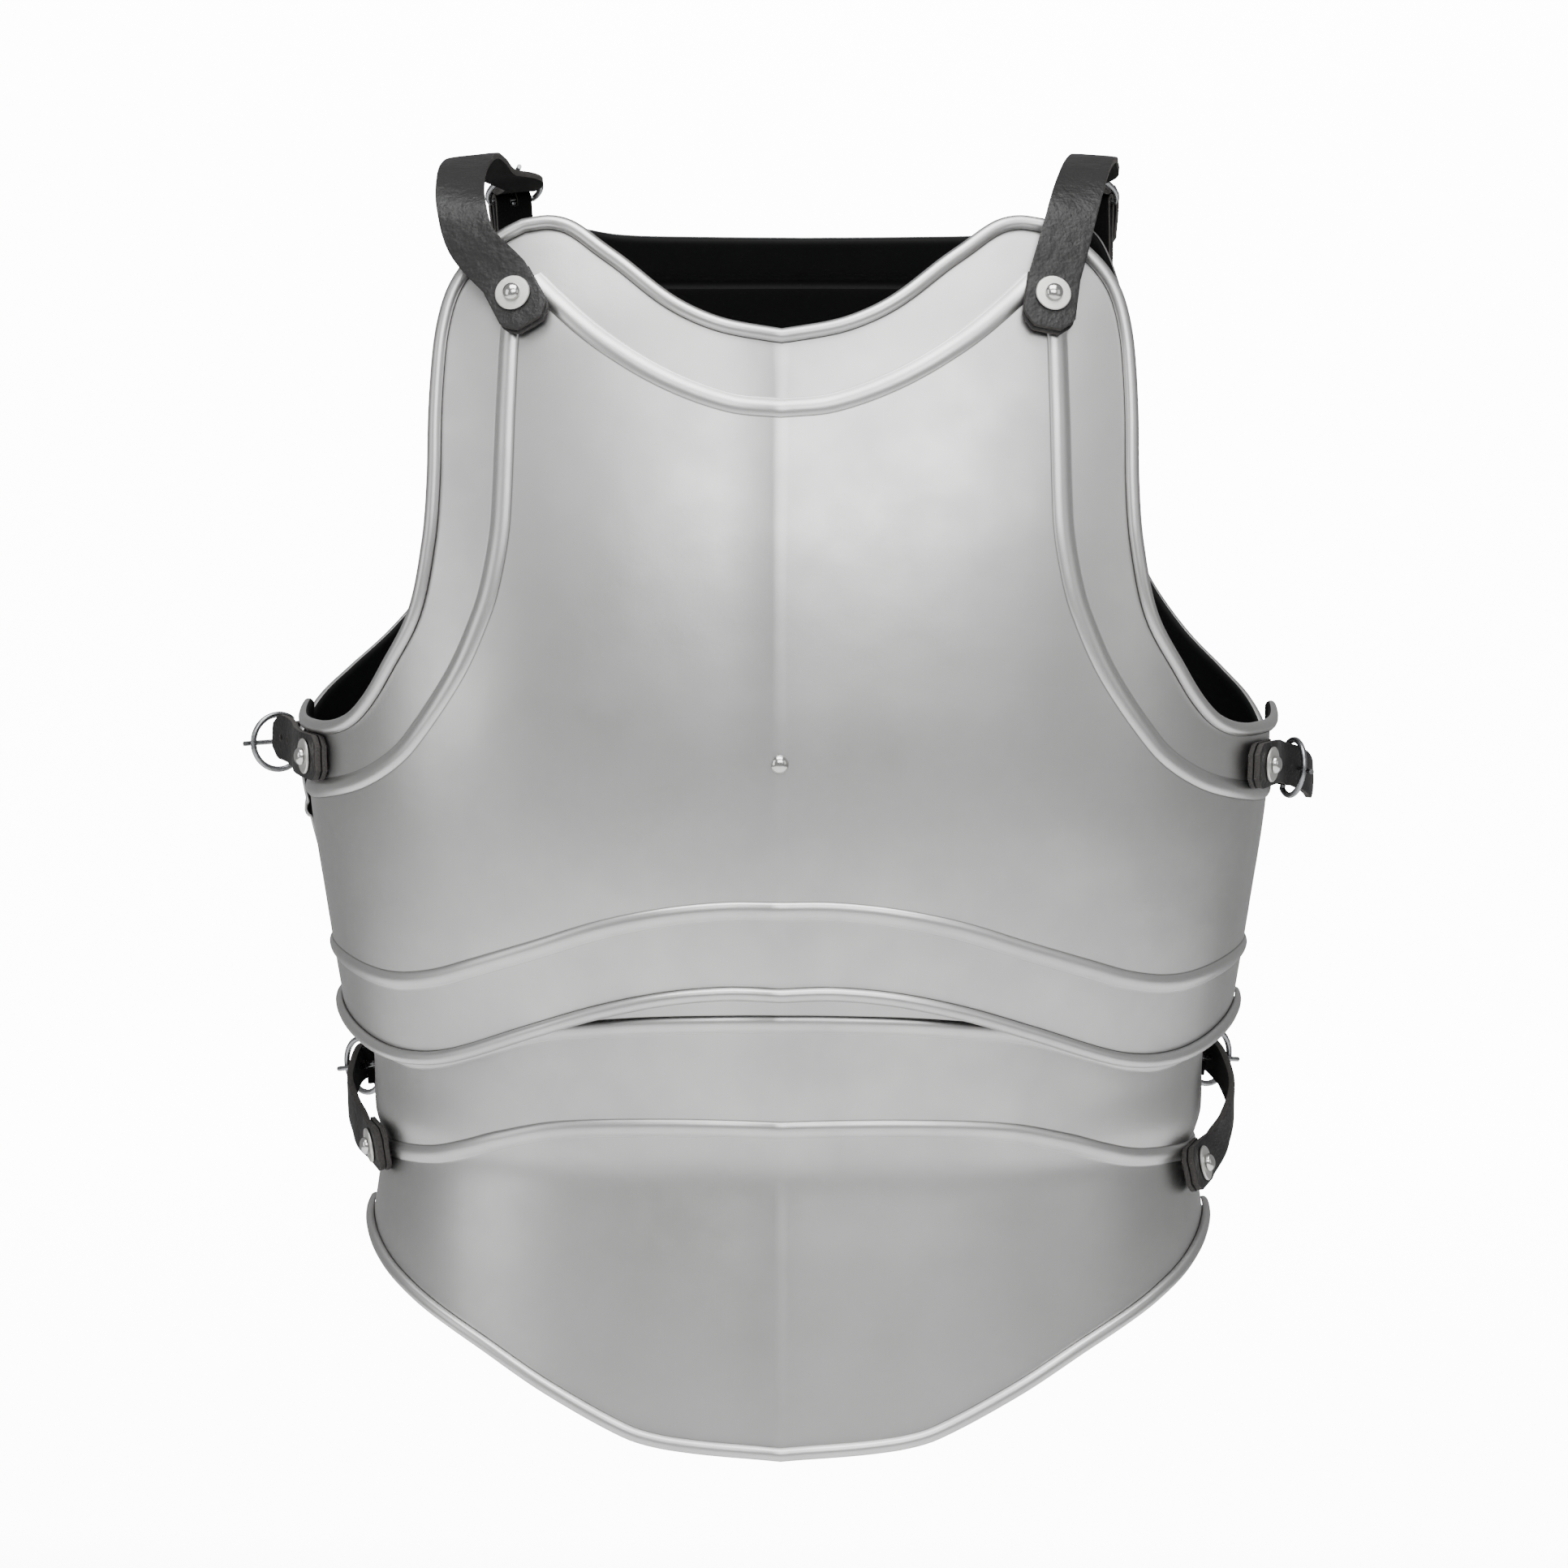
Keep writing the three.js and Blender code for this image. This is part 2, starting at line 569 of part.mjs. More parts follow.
// Folded leather: out from the rivet, round the buckle's bar and back under itself
function chapeBody(frame, bar) {
  const slope = Math.atan2(bar.out - (CHAPE_SEAT + CHAPE_TOP) / 2, bar.ahead - CHAPE_AHEAD);
  const places = [[-CHAPE_BEHIND, CHAPE_TOP], [CHAPE_AHEAD, CHAPE_TOP]];
  const foldSteps = 4;
  for (let i = 0; i <= foldSteps; i += 1) {
    const turn = slope + Math.PI / 2 - (Math.PI * i) / foldSteps;
    places.push([bar.ahead + FOLD_RADIUS * Math.cos(turn), bar.out + FOLD_RADIUS * Math.sin(turn)]);
  }
  places.push([CHAPE_AHEAD, CHAPE_SEAT], [-CHAPE_BEHIND, CHAPE_SEAT]);
  const stations = places.map(([ahead, out]) => ({ at: inPlane(frame, ahead, out), wide: frame.across }));
  const slot = new THREE.BoxGeometry(2 * PRONG_WIRE + 1.2, 12, 13);
  slot.applyMatrix4(new THREE.Matrix4().makeBasis(frame.across, frame.ahead, frame.out)
    .setPosition(inPlane(frame, bar.ahead + 1, bar.out)));
  const hole = pinCutter(frame, 3 * CHAPE_TOP);
  return withHoles(strap(stations, CHAPE_WIDTH, CHAPE), [slot, hole]);
}

// A round wire buckle with a straight bar; tilt turns its far side out from the plate
function buckleWire(frame, bar, tilt) {
  const halfBar = Math.sqrt(BUCKLE_RADIUS ** 2 - BAR_OFFSET ** 2);
  const startAngle = Math.atan2(-BAR_OFFSET, halfBar);
  const sweep = Math.PI - 2 * startAngle;
  const spot = (far, across) => inPlane(frame, bar.ahead + far * Math.cos(tilt), bar.out + far * Math.sin(tilt), across);
  const points = evenShares(10).map((t) => {
    const turn = startAngle + sweep * t;
    return spot(BAR_OFFSET + BUCKLE_RADIUS * Math.sin(turn), BUCKLE_RADIUS * Math.cos(turn));
  });
  points.push(spot(0, -halfBar / 3), spot(0, halfBar / 3));
  return wireAlong(points, BAR_WIRE, 5, true);
}

// A round head outside, a shank, and the closed end inside; seats are heights over the plate's face
function rivetBody(frame, headSeat, tailSeat) {
  const profile = [
    [0, tailSeat - TAIL_THICKNESS],
    [TAIL_RADIUS, tailSeat - TAIL_THICKNESS],
    [TAIL_RADIUS, tailSeat],
    [SHANK_RADIUS, tailSeat],
    [SHANK_RADIUS, headSeat],
    [DOME_RADIUS, headSeat],
    [DOME_RADIUS * 0.72, headSeat + 0.78 * DOME_HEIGHT],
    [0, headSeat + DOME_HEIGHT],
  ];
  return roundBody(frame, profile, 8);
}

function washerBody(frame, seat) {
  const bore = SHANK_RADIUS + GAP;
  const top = seat + WASHER_THICKNESS;
  const profile = [[bore, seat], [WASHER_RADIUS, seat], [WASHER_RADIUS, top], [bore, top], [bore, seat]];
  return roundBody(frame, profile, 9);
}

// A fastening's own frame: ahead is the strap's way along the plate, across runs over its width
function turnedFrame(plate, [g, z], degrees, lift) {
  const frame = frameOn(plate, g, z);
  const turn = (degrees * Math.PI) / 180;
  const ahead = frame.up.clone().multiplyScalar(Math.cos(turn)).addScaledVector(frame.across, Math.sin(turn));
  const origin = frame.origin.clone().addScaledVector(frame.out, lift);
  return { origin, ahead, out: frame.out, across: new THREE.Vector3().crossVectors(ahead, frame.out), up: ahead };
}

// The six fastenings. On the front: the rivet's girth and height, the strap's way there in degrees
// from upright, how far a bead lifts it. On the back: the same for the chape, then the buckle's bar
// and the tilt of its far side. Then the strap's free course, in the model's frame.
const FASTENINGS = [
  {
    name: "shoulder_left", plate: CHEST, rivet: [-98, -60], lift: 2.3, way: -33, width: 22, taper: 0.77,
    anchor: [-116, -55], backLift: 4.2, backWay: 5, bar: { ahead: 32.5, out: 9.4 }, tilt: -38, prongSide: 1,
    course: [
      { x: -129.5, y: -74, z: -36, wx: 0.86, wy: -0.1, wz: 0.45 },
      { x: -134.4, y: -66, z: -21.6, wx: 0.97, wy: 0.1, wz: 0.25 },
      { x: -136, y: -52, z: -12.4, wx: 0.88, wy: 0.45, wz: 0.1 },
      { x: -136, y: -30, z: -5, wx: 0.86, wy: 0.48, wz: 0.1 },
      { x: -134, y: -2, z: -1.3, wx: 0.9, wy: 0.4, wz: 0.1 },
      { x: -131.5, y: 25, z: -3.8, wx: 0.93, wy: 0.3, wz: 0.05 },
      { x: -128.5, y: 50, z: -8.3, wx: 0.98, wy: 0.15, wz: 0 },
    ],
    threading: [[45, -7.7], [38.5, 4.9], [38, 13.6], [32.6, 16.2], [25.8, 14.8], [17.5, 10.9], [10, 9.5]],
  },
  {
    name: "shoulder_right", plate: CHEST, rivet: [98, -60], lift: 2.3, way: 13, width: 22, taper: 0.77,
    anchor: [116.5, -57], backLift: 4.2, backWay: 0, bar: { ahead: 34, out: 9.4 }, tilt: -38, prongSide: 1,
    course: [
      { x: 116.5, y: -74, z: -36, wx: 0.96, wy: 0.1, wz: -0.27 },
      { x: 120.5, y: -65, z: -21.5, wx: 0.96, wy: 0, wz: -0.25 },
      { x: 124, y: -49, z: -11, wx: 0.96, wy: -0.2, wz: -0.15 },
      { x: 127, y: -28, z: -4.5, wx: 0.95, wy: -0.25, wz: -0.1 },
      { x: 130.3, y: -2, z: -1.3, wx: 0.97, wy: -0.22, wz: -0.07 },
      { x: 132, y: 25, z: -3.8, wx: 0.98, wy: -0.15, wz: -0.03 },
      { x: 132.8, y: 50, z: -8.3, wx: 1, wy: -0.05, wz: 0 },
    ],
    threading: [[46.5, -7.7], [40, 4.9], [39.5, 13.6], [34.1, 16.2], [27.3, 14.8], [19, 10.9], [11.5, 9.5]],
  },
  {
    name: "side_left", plate: CHEST, rivet: [-211, -253.5], lift: 0, way: -90, width: 19.5, taper: 1,
    anchor: [-204, -255], backLift: 0.7, backWay: 90, bar: { ahead: 22.5, out: 5 }, tilt: 35, prongSide: 1,
    course: [
      { x: -209.8, y: -25.5, z: -253, wx: 0, wy: 0, wz: 1 },
      { x: -212.5, y: -9, z: -252.5, wx: 0, wy: 0, wz: 1 },
      { x: -216.5, y: 4, z: -251.5, wx: 0, wy: 0, wz: 1 },
      { x: -223.5, y: 15, z: -250.5, wx: 0, wy: 0, wz: 1 },
    ],
    threading: [],
  },
  {
    name: "side_right", plate: CHEST, rivet: [213, -256], lift: 1.2, way: 90, width: 19.5, taper: 0.86,
    anchor: [222, -262], backLift: 3.5, backWay: -90, bar: { ahead: 30, out: 1.6 }, tilt: 5, prongSide: 1,
    course: [
      { x: 209.3, y: -24, z: -257, wx: 0, wy: 0, wz: 1 },
      { x: 211, y: -12, z: -258.5, wx: 0, wy: 0, wz: 1 },
      { x: 213.2, y: -3, z: -260, wx: 0, wy: 0, wz: 1 },
      { x: 218.3, y: 3.3, z: -262, wx: 0, wy: 0, wz: 1 },
      { x: 222.8, y: 11.5, z: -265, wx: 0, wy: 0, wz: 1 },
      { x: 225.3, y: 19.5, z: -268.5, wx: 0, wy: 0, wz: 1 },
      { x: 226.6, y: 27.5, z: -272.5, wx: 0, wy: 0, wz: 1 },
    ],
    threading: [],
  },
  {
    name: "waist_left", plate: BELLY, rivet: [-225, -422], lift: 2.3, way: -85, width: 19.5, taper: 0.82,
    anchor: [-204, -396], backLift: 1, backWay: 90, bar: { ahead: 20, out: 4 }, tilt: 111, prongSide: -1,
    course: [
      { x: -184.7, y: -10, z: -419, wx: 0, wy: 0, wz: 1 },
      { x: -188, y: -1, z: -414.5, wx: 0, wy: -0.2, wz: 1 },
      { x: -191, y: 8, z: -407.5, wx: 0, wy: -0.3, wz: 1 },
      { x: -190.6, y: 19, z: -401, wx: 0, wy: -0.2, wz: 1 },
      { x: -189, y: 30.5, z: -397, wx: 0, wy: 0, wz: 1 },
      { x: -185, y: 42, z: -396, wx: 0, wy: 0, wz: 1 },
    ],
    threading: [],
  },
  {
    name: "waist_right", plate: BELLY, rivet: [225, -431], lift: 2.3, way: 85, width: 19.5, taper: 0.82,
    anchor: [204, -391], backLift: 0.5, backWay: -90, bar: { ahead: 20, out: 4 }, tilt: 107, prongSide: -1,
    course: [
      { x: 183.5, y: -12, z: -427, wx: 0, wy: 0, wz: 1 },
      { x: 189, y: -3, z: -419, wx: 0, wy: -0.3, wz: 1 },
      { x: 192.3, y: 6, z: -407, wx: 0, wy: -0.5, wz: 1 },
      { x: 189.4, y: 18, z: -397, wx: 0, wy: -0.3, wz: 1 },
      { x: 185.2, y: 30, z: -392.5, wx: 0, wy: 0, wz: 1 },
      { x: 182, y: 42, z: -391.5, wx: 0, wy: 0, wz: 1 },
    ],
    threading: [],
  },
];

const STRAP_END = 15;          // from the rivet to the strap's clipped end
const STATION_SPACING = 14;
const HOLE_REACH = 14;
const FLAT_AHEAD = 9;          // how far past the rivet the strap lies flat
const BACKING_AHEAD = 9;
const BACKING_SEAT = GAP + BACKING / 2;
const STRAP_SEAT = GAP + BACKING + GAP + LEATHER / 2;
const TAIL_CLEARANCE = 1.7;    // from a plate's inside to a rivet's closed end
const BELLY_BEHIND = 3.7;      // from the upper plate's face to the lower plate's back, on the ridge
const CENTRE_RIVET = [0, -248];
const PRONG_LOOP = BAR_WIRE + GAP + PRONG_WIRE;
const PRONG_LOOP_DEGREES = [-50, -95, -140, -185, -230];
const PRONG_REST = PRONG_LOOP + 0.1;
const PRONG_START = 0.6;
const PRONG_TIP = 3.5;
const PRONG_DIP = 0.5;
const PRONG_SIDES = 5;
const PRONG_HOLE_LINE = [[2, 2.9], [8, 2.9], [14, 2.8]];
const PRONG_HOLE_ROOM = 0.8;

function prongLine(frame, bar, tilt, side) {
  const turn = (tilt * Math.PI) / 180;
  const far = { ahead: Math.cos(turn), out: Math.sin(turn) };
  const over = { ahead: -far.out * side, out: far.ahead * side };
  return (along, high) => inPlane(frame, bar.ahead + along * far.ahead + high * over.ahead,
    bar.out + along * far.out + high * over.out);
}

// A prong: a loop round the bar, then a straight needle that rests on the far rim and dips past it
function prongBody(line) {
  const points = PRONG_LOOP_DEGREES.map((degrees) => {
    const turn = (degrees * Math.PI) / 180;
    return line(PRONG_LOOP * Math.cos(turn), PRONG_LOOP * Math.sin(turn));
  });
  const far = BAR_OFFSET + BUCKLE_RADIUS;
  points.push(line(PRONG_START, PRONG_REST), line(far, PRONG_REST), line(far + PRONG_TIP, PRONG_LOOP - PRONG_DIP));
  return wireAlong(points, PRONG_WIRE, PRONG_SIDES, false);
}

function strapBody(fastening, front, back, cutters) {
  const flat = (ahead, share) => ({ at: inPlane(front, ahead, STRAP_SEAT), wide: front.across, share });
  const rows = [flat(FLAT_AHEAD, 1)];
  const sign = Math.sign(fastening.course[0].wx * front.across.x + fastening.course[0].wz * front.across.z);
  for (const { x, y, z, wx, wy, wz } of fastening.course) {
    rows.push({ at: new THREE.Vector3(x, y, z), wide: new THREE.Vector3(wx, wy, wz).multiplyScalar(sign).normalize() });
  }
  const last = rows[rows.length - 1].wide;
  const turned = back.across.clone().multiplyScalar(Math.sign(back.across.dot(last)));
  for (const [ahead, out] of fastening.threading) rows.push({ at: inPlane(back, ahead, out), wide: turned });
  const stations = [flat(-STRAP_END, CLIPPED), flat(CLIP - STRAP_END, 1), ...stationsThrough(rows, STATION_SPACING)];
  stations.forEach((station, i) => {
    station.share *= 1 + (fastening.taper - 1) * (i / (stations.length - 1));
  });
  return withHoles(strap(stations, fastening.width, LEATHER), cutters);
}

function backingBody(front, width, hole) {
  const places = [[-STRAP_END - 1, CLIPPED], [CLIP - STRAP_END - 1, 1], [BACKING_AHEAD, 1]];
  const stations = places.map(([ahead, share]) => ({ at: inPlane(front, ahead, BACKING_SEAT), wide: front.across, share }));
  return withHoles(strap(stations, width, BACKING), [hole]);
}

const looks = Object.fromEntries(Object.entries({
  steel: STEEL_LOOK, leather: BLACK_LEATHER_LOOK, zinc: ZINC_LOOK, rivet: RIVET_LOOK, wire: WIRE_LOOK,
}).map(([name, look]) => [name, new THREE.MeshStandardMaterial(look)]));

const model = new THREE.Group();
function addPiece(name, geometry, look) {
  const mesh = new THREE.Mesh(geometry, looks[look]);
  mesh.name = name;
  model.add(mesh);
}

const plateHoles = new Map([[CHEST, []], [BELLY, []], [BACK, []]]);
for (const fastening of FASTENINGS) {
  const { name, plate, rivet, lift, way, width, anchor, backLift, backWay, bar, tilt, prongSide } = fastening;
  const front = turnedFrame(plate, rivet, way, lift);
  const back = turnedFrame(BACK, anchor, backWay, backLift);
  const frontHole = pinCutter(front, HOLE_REACH);
  plateHoles.get(plate).push(frontHole);
  plateHoles.get(BACK).push(pinCutter(back, HOLE_REACH));
  const line = prongLine(back, bar, tilt, prongSide);
  const holeLine = PRONG_HOLE_LINE.map(([along, high]) => line(along, high));
  const prongHole = wireAlong(holeLine, PRONG_WIRE + PRONG_HOLE_ROOM, PRONG_SIDES, false);
  const strapTop = STRAP_SEAT + LEATHER / 2 + GAP;
  addPiece(`strap_${name}`, strapBody(fastening, front, back, [frontHole, prongHole]), "leather");
  addPiece(`backing_${name}`, backingBody(front, width, frontHole), "leather");
  addPiece(`washer_${name}`, washerBody(front, strapTop), "zinc");
  addPiece(`rivet_${name}`, rivetBody(front, strapTop + WASHER_THICKNESS + GAP, -lift - STEEL - TAIL_CLEARANCE), "rivet");
  addPiece(`chape_${name}`, chapeBody(back, bar), "leather");
  addPiece(`buckle_${name}`, buckleWire(back, bar, (tilt * Math.PI) / 180), "wire");
  addPiece(`prong_${name}`, prongBody(line), "wire");
  addPiece(`back_rivet_${name}`, rivetBody(back, CHAPE_TOP + CHAPE / 2 + GAP, -backLift - STEEL - TAIL_CLEARANCE), "rivet");
}

const centre = turnedFrame(CHEST, CENTRE_RIVET, 0, RIDGE_HEIGHT);
const centreHole = pinCutter(centre, HOLE_REACH);
plateHoles.get(CHEST).push(centreHole);
plateHoles.get(BELLY).push(centreHole);
addPiece("centre_rivet", rivetBody(centre, GAP, -BELLY_BEHIND - STEEL - TAIL_CLEARANCE), "rivet");

addPiece("breastplate", withHoles(shoulderedPlate(CHEST), plateHoles.get(CHEST)), "steel");
addPiece("plackart", withHoles(skirtedPlate(BELLY), plateHoles.get(BELLY)), "steel");
addPiece("backplate", withHoles(shoulderedPlate(BACK), plateHoles.get(BACK)), "steel");

export default model;
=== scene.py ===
import math

import bmesh
import bpy
import numpy as np
from mathutils import Matrix, Vector


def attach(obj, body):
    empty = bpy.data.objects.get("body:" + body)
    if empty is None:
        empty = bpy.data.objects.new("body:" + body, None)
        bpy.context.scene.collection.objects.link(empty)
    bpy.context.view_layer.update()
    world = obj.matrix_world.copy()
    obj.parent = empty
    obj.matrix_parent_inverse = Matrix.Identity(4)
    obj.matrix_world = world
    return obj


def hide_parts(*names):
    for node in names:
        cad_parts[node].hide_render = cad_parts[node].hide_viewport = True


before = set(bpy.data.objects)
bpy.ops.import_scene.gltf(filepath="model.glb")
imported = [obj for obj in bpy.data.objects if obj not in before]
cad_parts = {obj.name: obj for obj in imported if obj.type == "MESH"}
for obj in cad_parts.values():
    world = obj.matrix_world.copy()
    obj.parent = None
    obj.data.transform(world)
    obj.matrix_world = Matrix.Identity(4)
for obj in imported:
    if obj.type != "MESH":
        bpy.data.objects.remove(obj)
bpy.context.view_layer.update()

# Sizes in millimetres, the same as the solids': meshes are made in metres by MM
MM = 0.001
GIRTH_RADIUS = 172
SQUARENESS = 0.05
STEEL = 1.4
ROLL_RADIUS = 2.9
ROLL_FLATTENED = 0.72
BEAD_HALF_WIDTH = 3.8
RIDGE_HEIGHT = 2.4
RIDGE_WIDTH = 20
LEATHER = 2.6
BACKING = 2.2
CLIP = 5
CLIPPED = 0.55
CHAPE = 2
CHAPE_WIDTH = 16.5
GAP = 0.3
WASHER_RADIUS = 7.5
WASHER_THICKNESS = 1.2
DOME_RADIUS = 3.8
DOME_HEIGHT = 3
SHANK_RADIUS = 1.9
TAIL_RADIUS = 3.6
TAIL_THICKNESS = 1.2
TAIL_CLEARANCE = 1.7
BUCKLE_RADIUS = 12
BUCKLE_WIRE = 1.3
BAR_OFFSET = 6.6
PRONG_WIRE = 1.1
STRAP_END = 15
FLAT_AHEAD = 9
BACKING_AHEAD = 9
BACKING_SEAT = GAP + BACKING / 2
STRAP_SEAT = GAP + BACKING + GAP + LEATHER / 2
FOLD_RADIUS = BUCKLE_WIRE + GAP + CHAPE / 2
CHAPE_BEHIND = 8
CHAPE_AHEAD = 4
CHAPE_SEAT = GAP + CHAPE / 2
CHAPE_TOP = CHAPE_SEAT + CHAPE + GAP
CENTRE_RIVET = (0, -248)
UNDER_RIDGE = 3.7
SHARP_BEND = 0.8
CORNER_POINTS = 3
# Rows before a roll: how far inwards in roll radii, and how much painted shade darkens the crease there
ROLL_FOOT = ((2.14, 0), (1.98, 1), (1.4, 1))
ROLL_TURN = 295
ROLL_STEPS = 12
PATH_STEP = 1.5
STRAP_STEP = 2
CHAPE_STEP = 1.2
FOLD_STEPS = 12
END_STEPS = 12
RING_STEPS = 48
BAR_STEPS = 8
DOME_STEPS = 8
HOLE_RADIUS = 1.7
HOLES_FROM_END = (9, 17)
BORE_CLEARANCE = 0.15
RIDGE_SEAT = GAP * 0.2
MERGED = 0.005
PLATE_MERGED = 0.01
RUN_UNIT = 100

# The chape's slot for the prong, half its length and half its width
SLOT_HALF_LENGTH = 6.5
SLOT_HALF_WIDTH = 2

# The prong: its eye's turn round the bar in degrees, its clearance, and how far it passes the ring
PRONG_EYE = range(50, 256, 12)
PRONG_CLEAR = 0.1
PRONG_PAST = 2
PRONG_TIP = 3.5

# A line's corner is cut off past this many times its distance; a line is read at this many points
MITRE_CAP = 1.5
LINE_SAMPLES = 400

# Grid counts of the plates, along and across their lines
NECK_COLUMNS = 44
ARM_COLUMNS = 96
YOKE_ROWS = 60
PANEL_ROWS = 26
SKIRT_COLUMNS = 90
BEAD_TO_ROLL_ROWS = 5
WAIST_TO_ROLL_ROWS = 6
SKIRT_ROWS = (22, 12, 34)

# Plate sections: height, half width, depth, sideways shift
CHEST_SECTIONS = [
    (0, 184, 58, 0),
    (-40, 192, 80, 0),
    (-80, 199, 98, 0),
    (-150, 205, 118, 0),
    (-220, 207, 129, 0),
    (-270, 206, 131, 0),
    (-320, 199, 127, 0),
    (-370, 191, 118, 0),
]
BELLY_SECTIONS = [
    (-230, 197, 128, 0),
    (-250, 196, 127.6, 0),
    (-300, 189, 123, 0),
    (-350, 182, 114, 0),
    (-390, 179, 109, 0),
    (-410, 178.6, 106.5, 0),
    (-424, 175, 106, 0),
    (-440, 177.5, 108, 0),
    (-460, 180, 111, 0),
    (-500, 181, 116, 0),
    (-540, 182, 120, 0),
]
BACK_SECTIONS = [
    (0, 183, 92, 6),
    (-40, 189, 101, 5.5),
    (-80, 195, 112, 4),
    (-120, 200, 122, 2),
    (-170, 205, 131, 0),
    (-220, 209, 136, -2.5),
    (-262, 210, 136, -3.5),
    (-318, 197, 128, -3.5),
    (-360, 185, 118, -3),
    (-400, 176, 113, -2),
    (-424, 174, 113, -1),
    (-445, 176, 117, 0),
    (-470, 178, 122, 0),
]
CHEST = {
    "side": -1,
    "sections": CHEST_SECTIONS,
    "ridge": RIDGE_HEIGHT,
    "side_girth": 282,
    "neck_edge": [(0, -71.5), (19, -67.8), (31, -63), (41.5, -56.5), (57.5, -43.3), (67, -36.3), (75.5, -30),
            (82, -26.7), (90, -25.4), (100.5, -27)],
    "arm_edge": [(100.5, -27), (109, -31.5), (117.5, -38.5), (124.5, -46.5), (129, -55), (131.3, -65),
            (132.3, -80), (131.8, -105), (130.3, -135), (131.2, -160), (137, -189), (151, -212),
            (161, -224.5), (172, -232.5), (188, -236.8), (215, -238), (250, -237.5), (282, -234)],
    "neck_bead": [(0, -103.5), (18, -101.5), (41, -92), (64, -77), (84, -60), (99, -46)],
    "arm_bead": [(99, -46), (100, -65), (99.3, -100), (98.8, -149), (101, -170), (105, -187.5),
            (116.3, -214.5), (136, -242.5), (150, -253.5), (170, -261.5), (204, -267), (240, -269.3),
            (282, -269)],
    "waist_bead": [(0, -309), (20, -309.4), (41, -312.2), (64, -318), (90, -327.6), (117.5, -337),
            (134, -342), (153, -345), (172, -345), (215, -340.5), (245, -338.3), (282, -337.7)],
    "bottom_edge": [(0, -347.3), (20, -347), (42, -349.6), (66, -355.7), (92, -364.8), (122, -375.5),
            (140, -379.8), (160, -381), (182, -379), (222, -371.5), (252, -366.5), (282, -364)],
}
BACK = {
    "side": 1,
    "sections": BACK_SECTIONS,
    "ridge": 0,
    "side_girth": 252,
    "neck_edge": [(0, -37), (45, -36.5), (75, -35.5), (92, -32.5), (102, -30.5), (111, -30)],
    "arm_edge": [(111, -30), (117.5, -32), (122.5, -37), (126.5, -45), (129.5, -54), (131.8, -64),
            (133.3, -76), (133.3, -100), (130.5, -140), (133, -166), (142, -188), (162, -210),
            (187, -225), (211, -235.5), (232, -246), (252, -259)],
    "neck_bead": [(0, -56), (60, -56), (84, -55), (108, -52)],
    "arm_bead": [(108, -52), (107, -75), (105, -100), (103, -135), (104, -158), (108, -180), (120, -207),
            (143, -232), (172, -249), (205, -262), (252, -283)],
    "waist_bead": [(0, -400), (100, -401), (180, -404), (252, -406)],
    "bottom_edge": [(0, -470), (100, -469.5), (180, -466), (252, -462)],
}
BELLY = {
    "side": -1,
    "sections": BELLY_SECTIONS,
    "ridge": RIDGE_HEIGHT,
    "side_girth": 282,
    "top_edge": [(0, -233), (35, -240), (90, -272), (150, -296), (220, -304), (282, -304)],
    "upper_bead": [(0, -358), (45, -359.3), (72, -361.5), (100, -365), (132, -374), (152, -379), (175, -381),
            (240, -377), (282, -376)],
    "lower_bead": [(0, -403.5), (50, -403.3), (91, -405.8), (119, -411.7), (138, -416.8), (160, -421),
            (192, -423), (240, -424.5), (282, -424.5)],
    "bottom_edge": [(0, -540.5), (20, -539.4), (36, -538), (50, -536), (62, -532.5), (94, -516.5),
            (128, -498.7), (169.6, -482.6), (193, -475), (218, -467.5), (245, -461), (282, -456)],
}
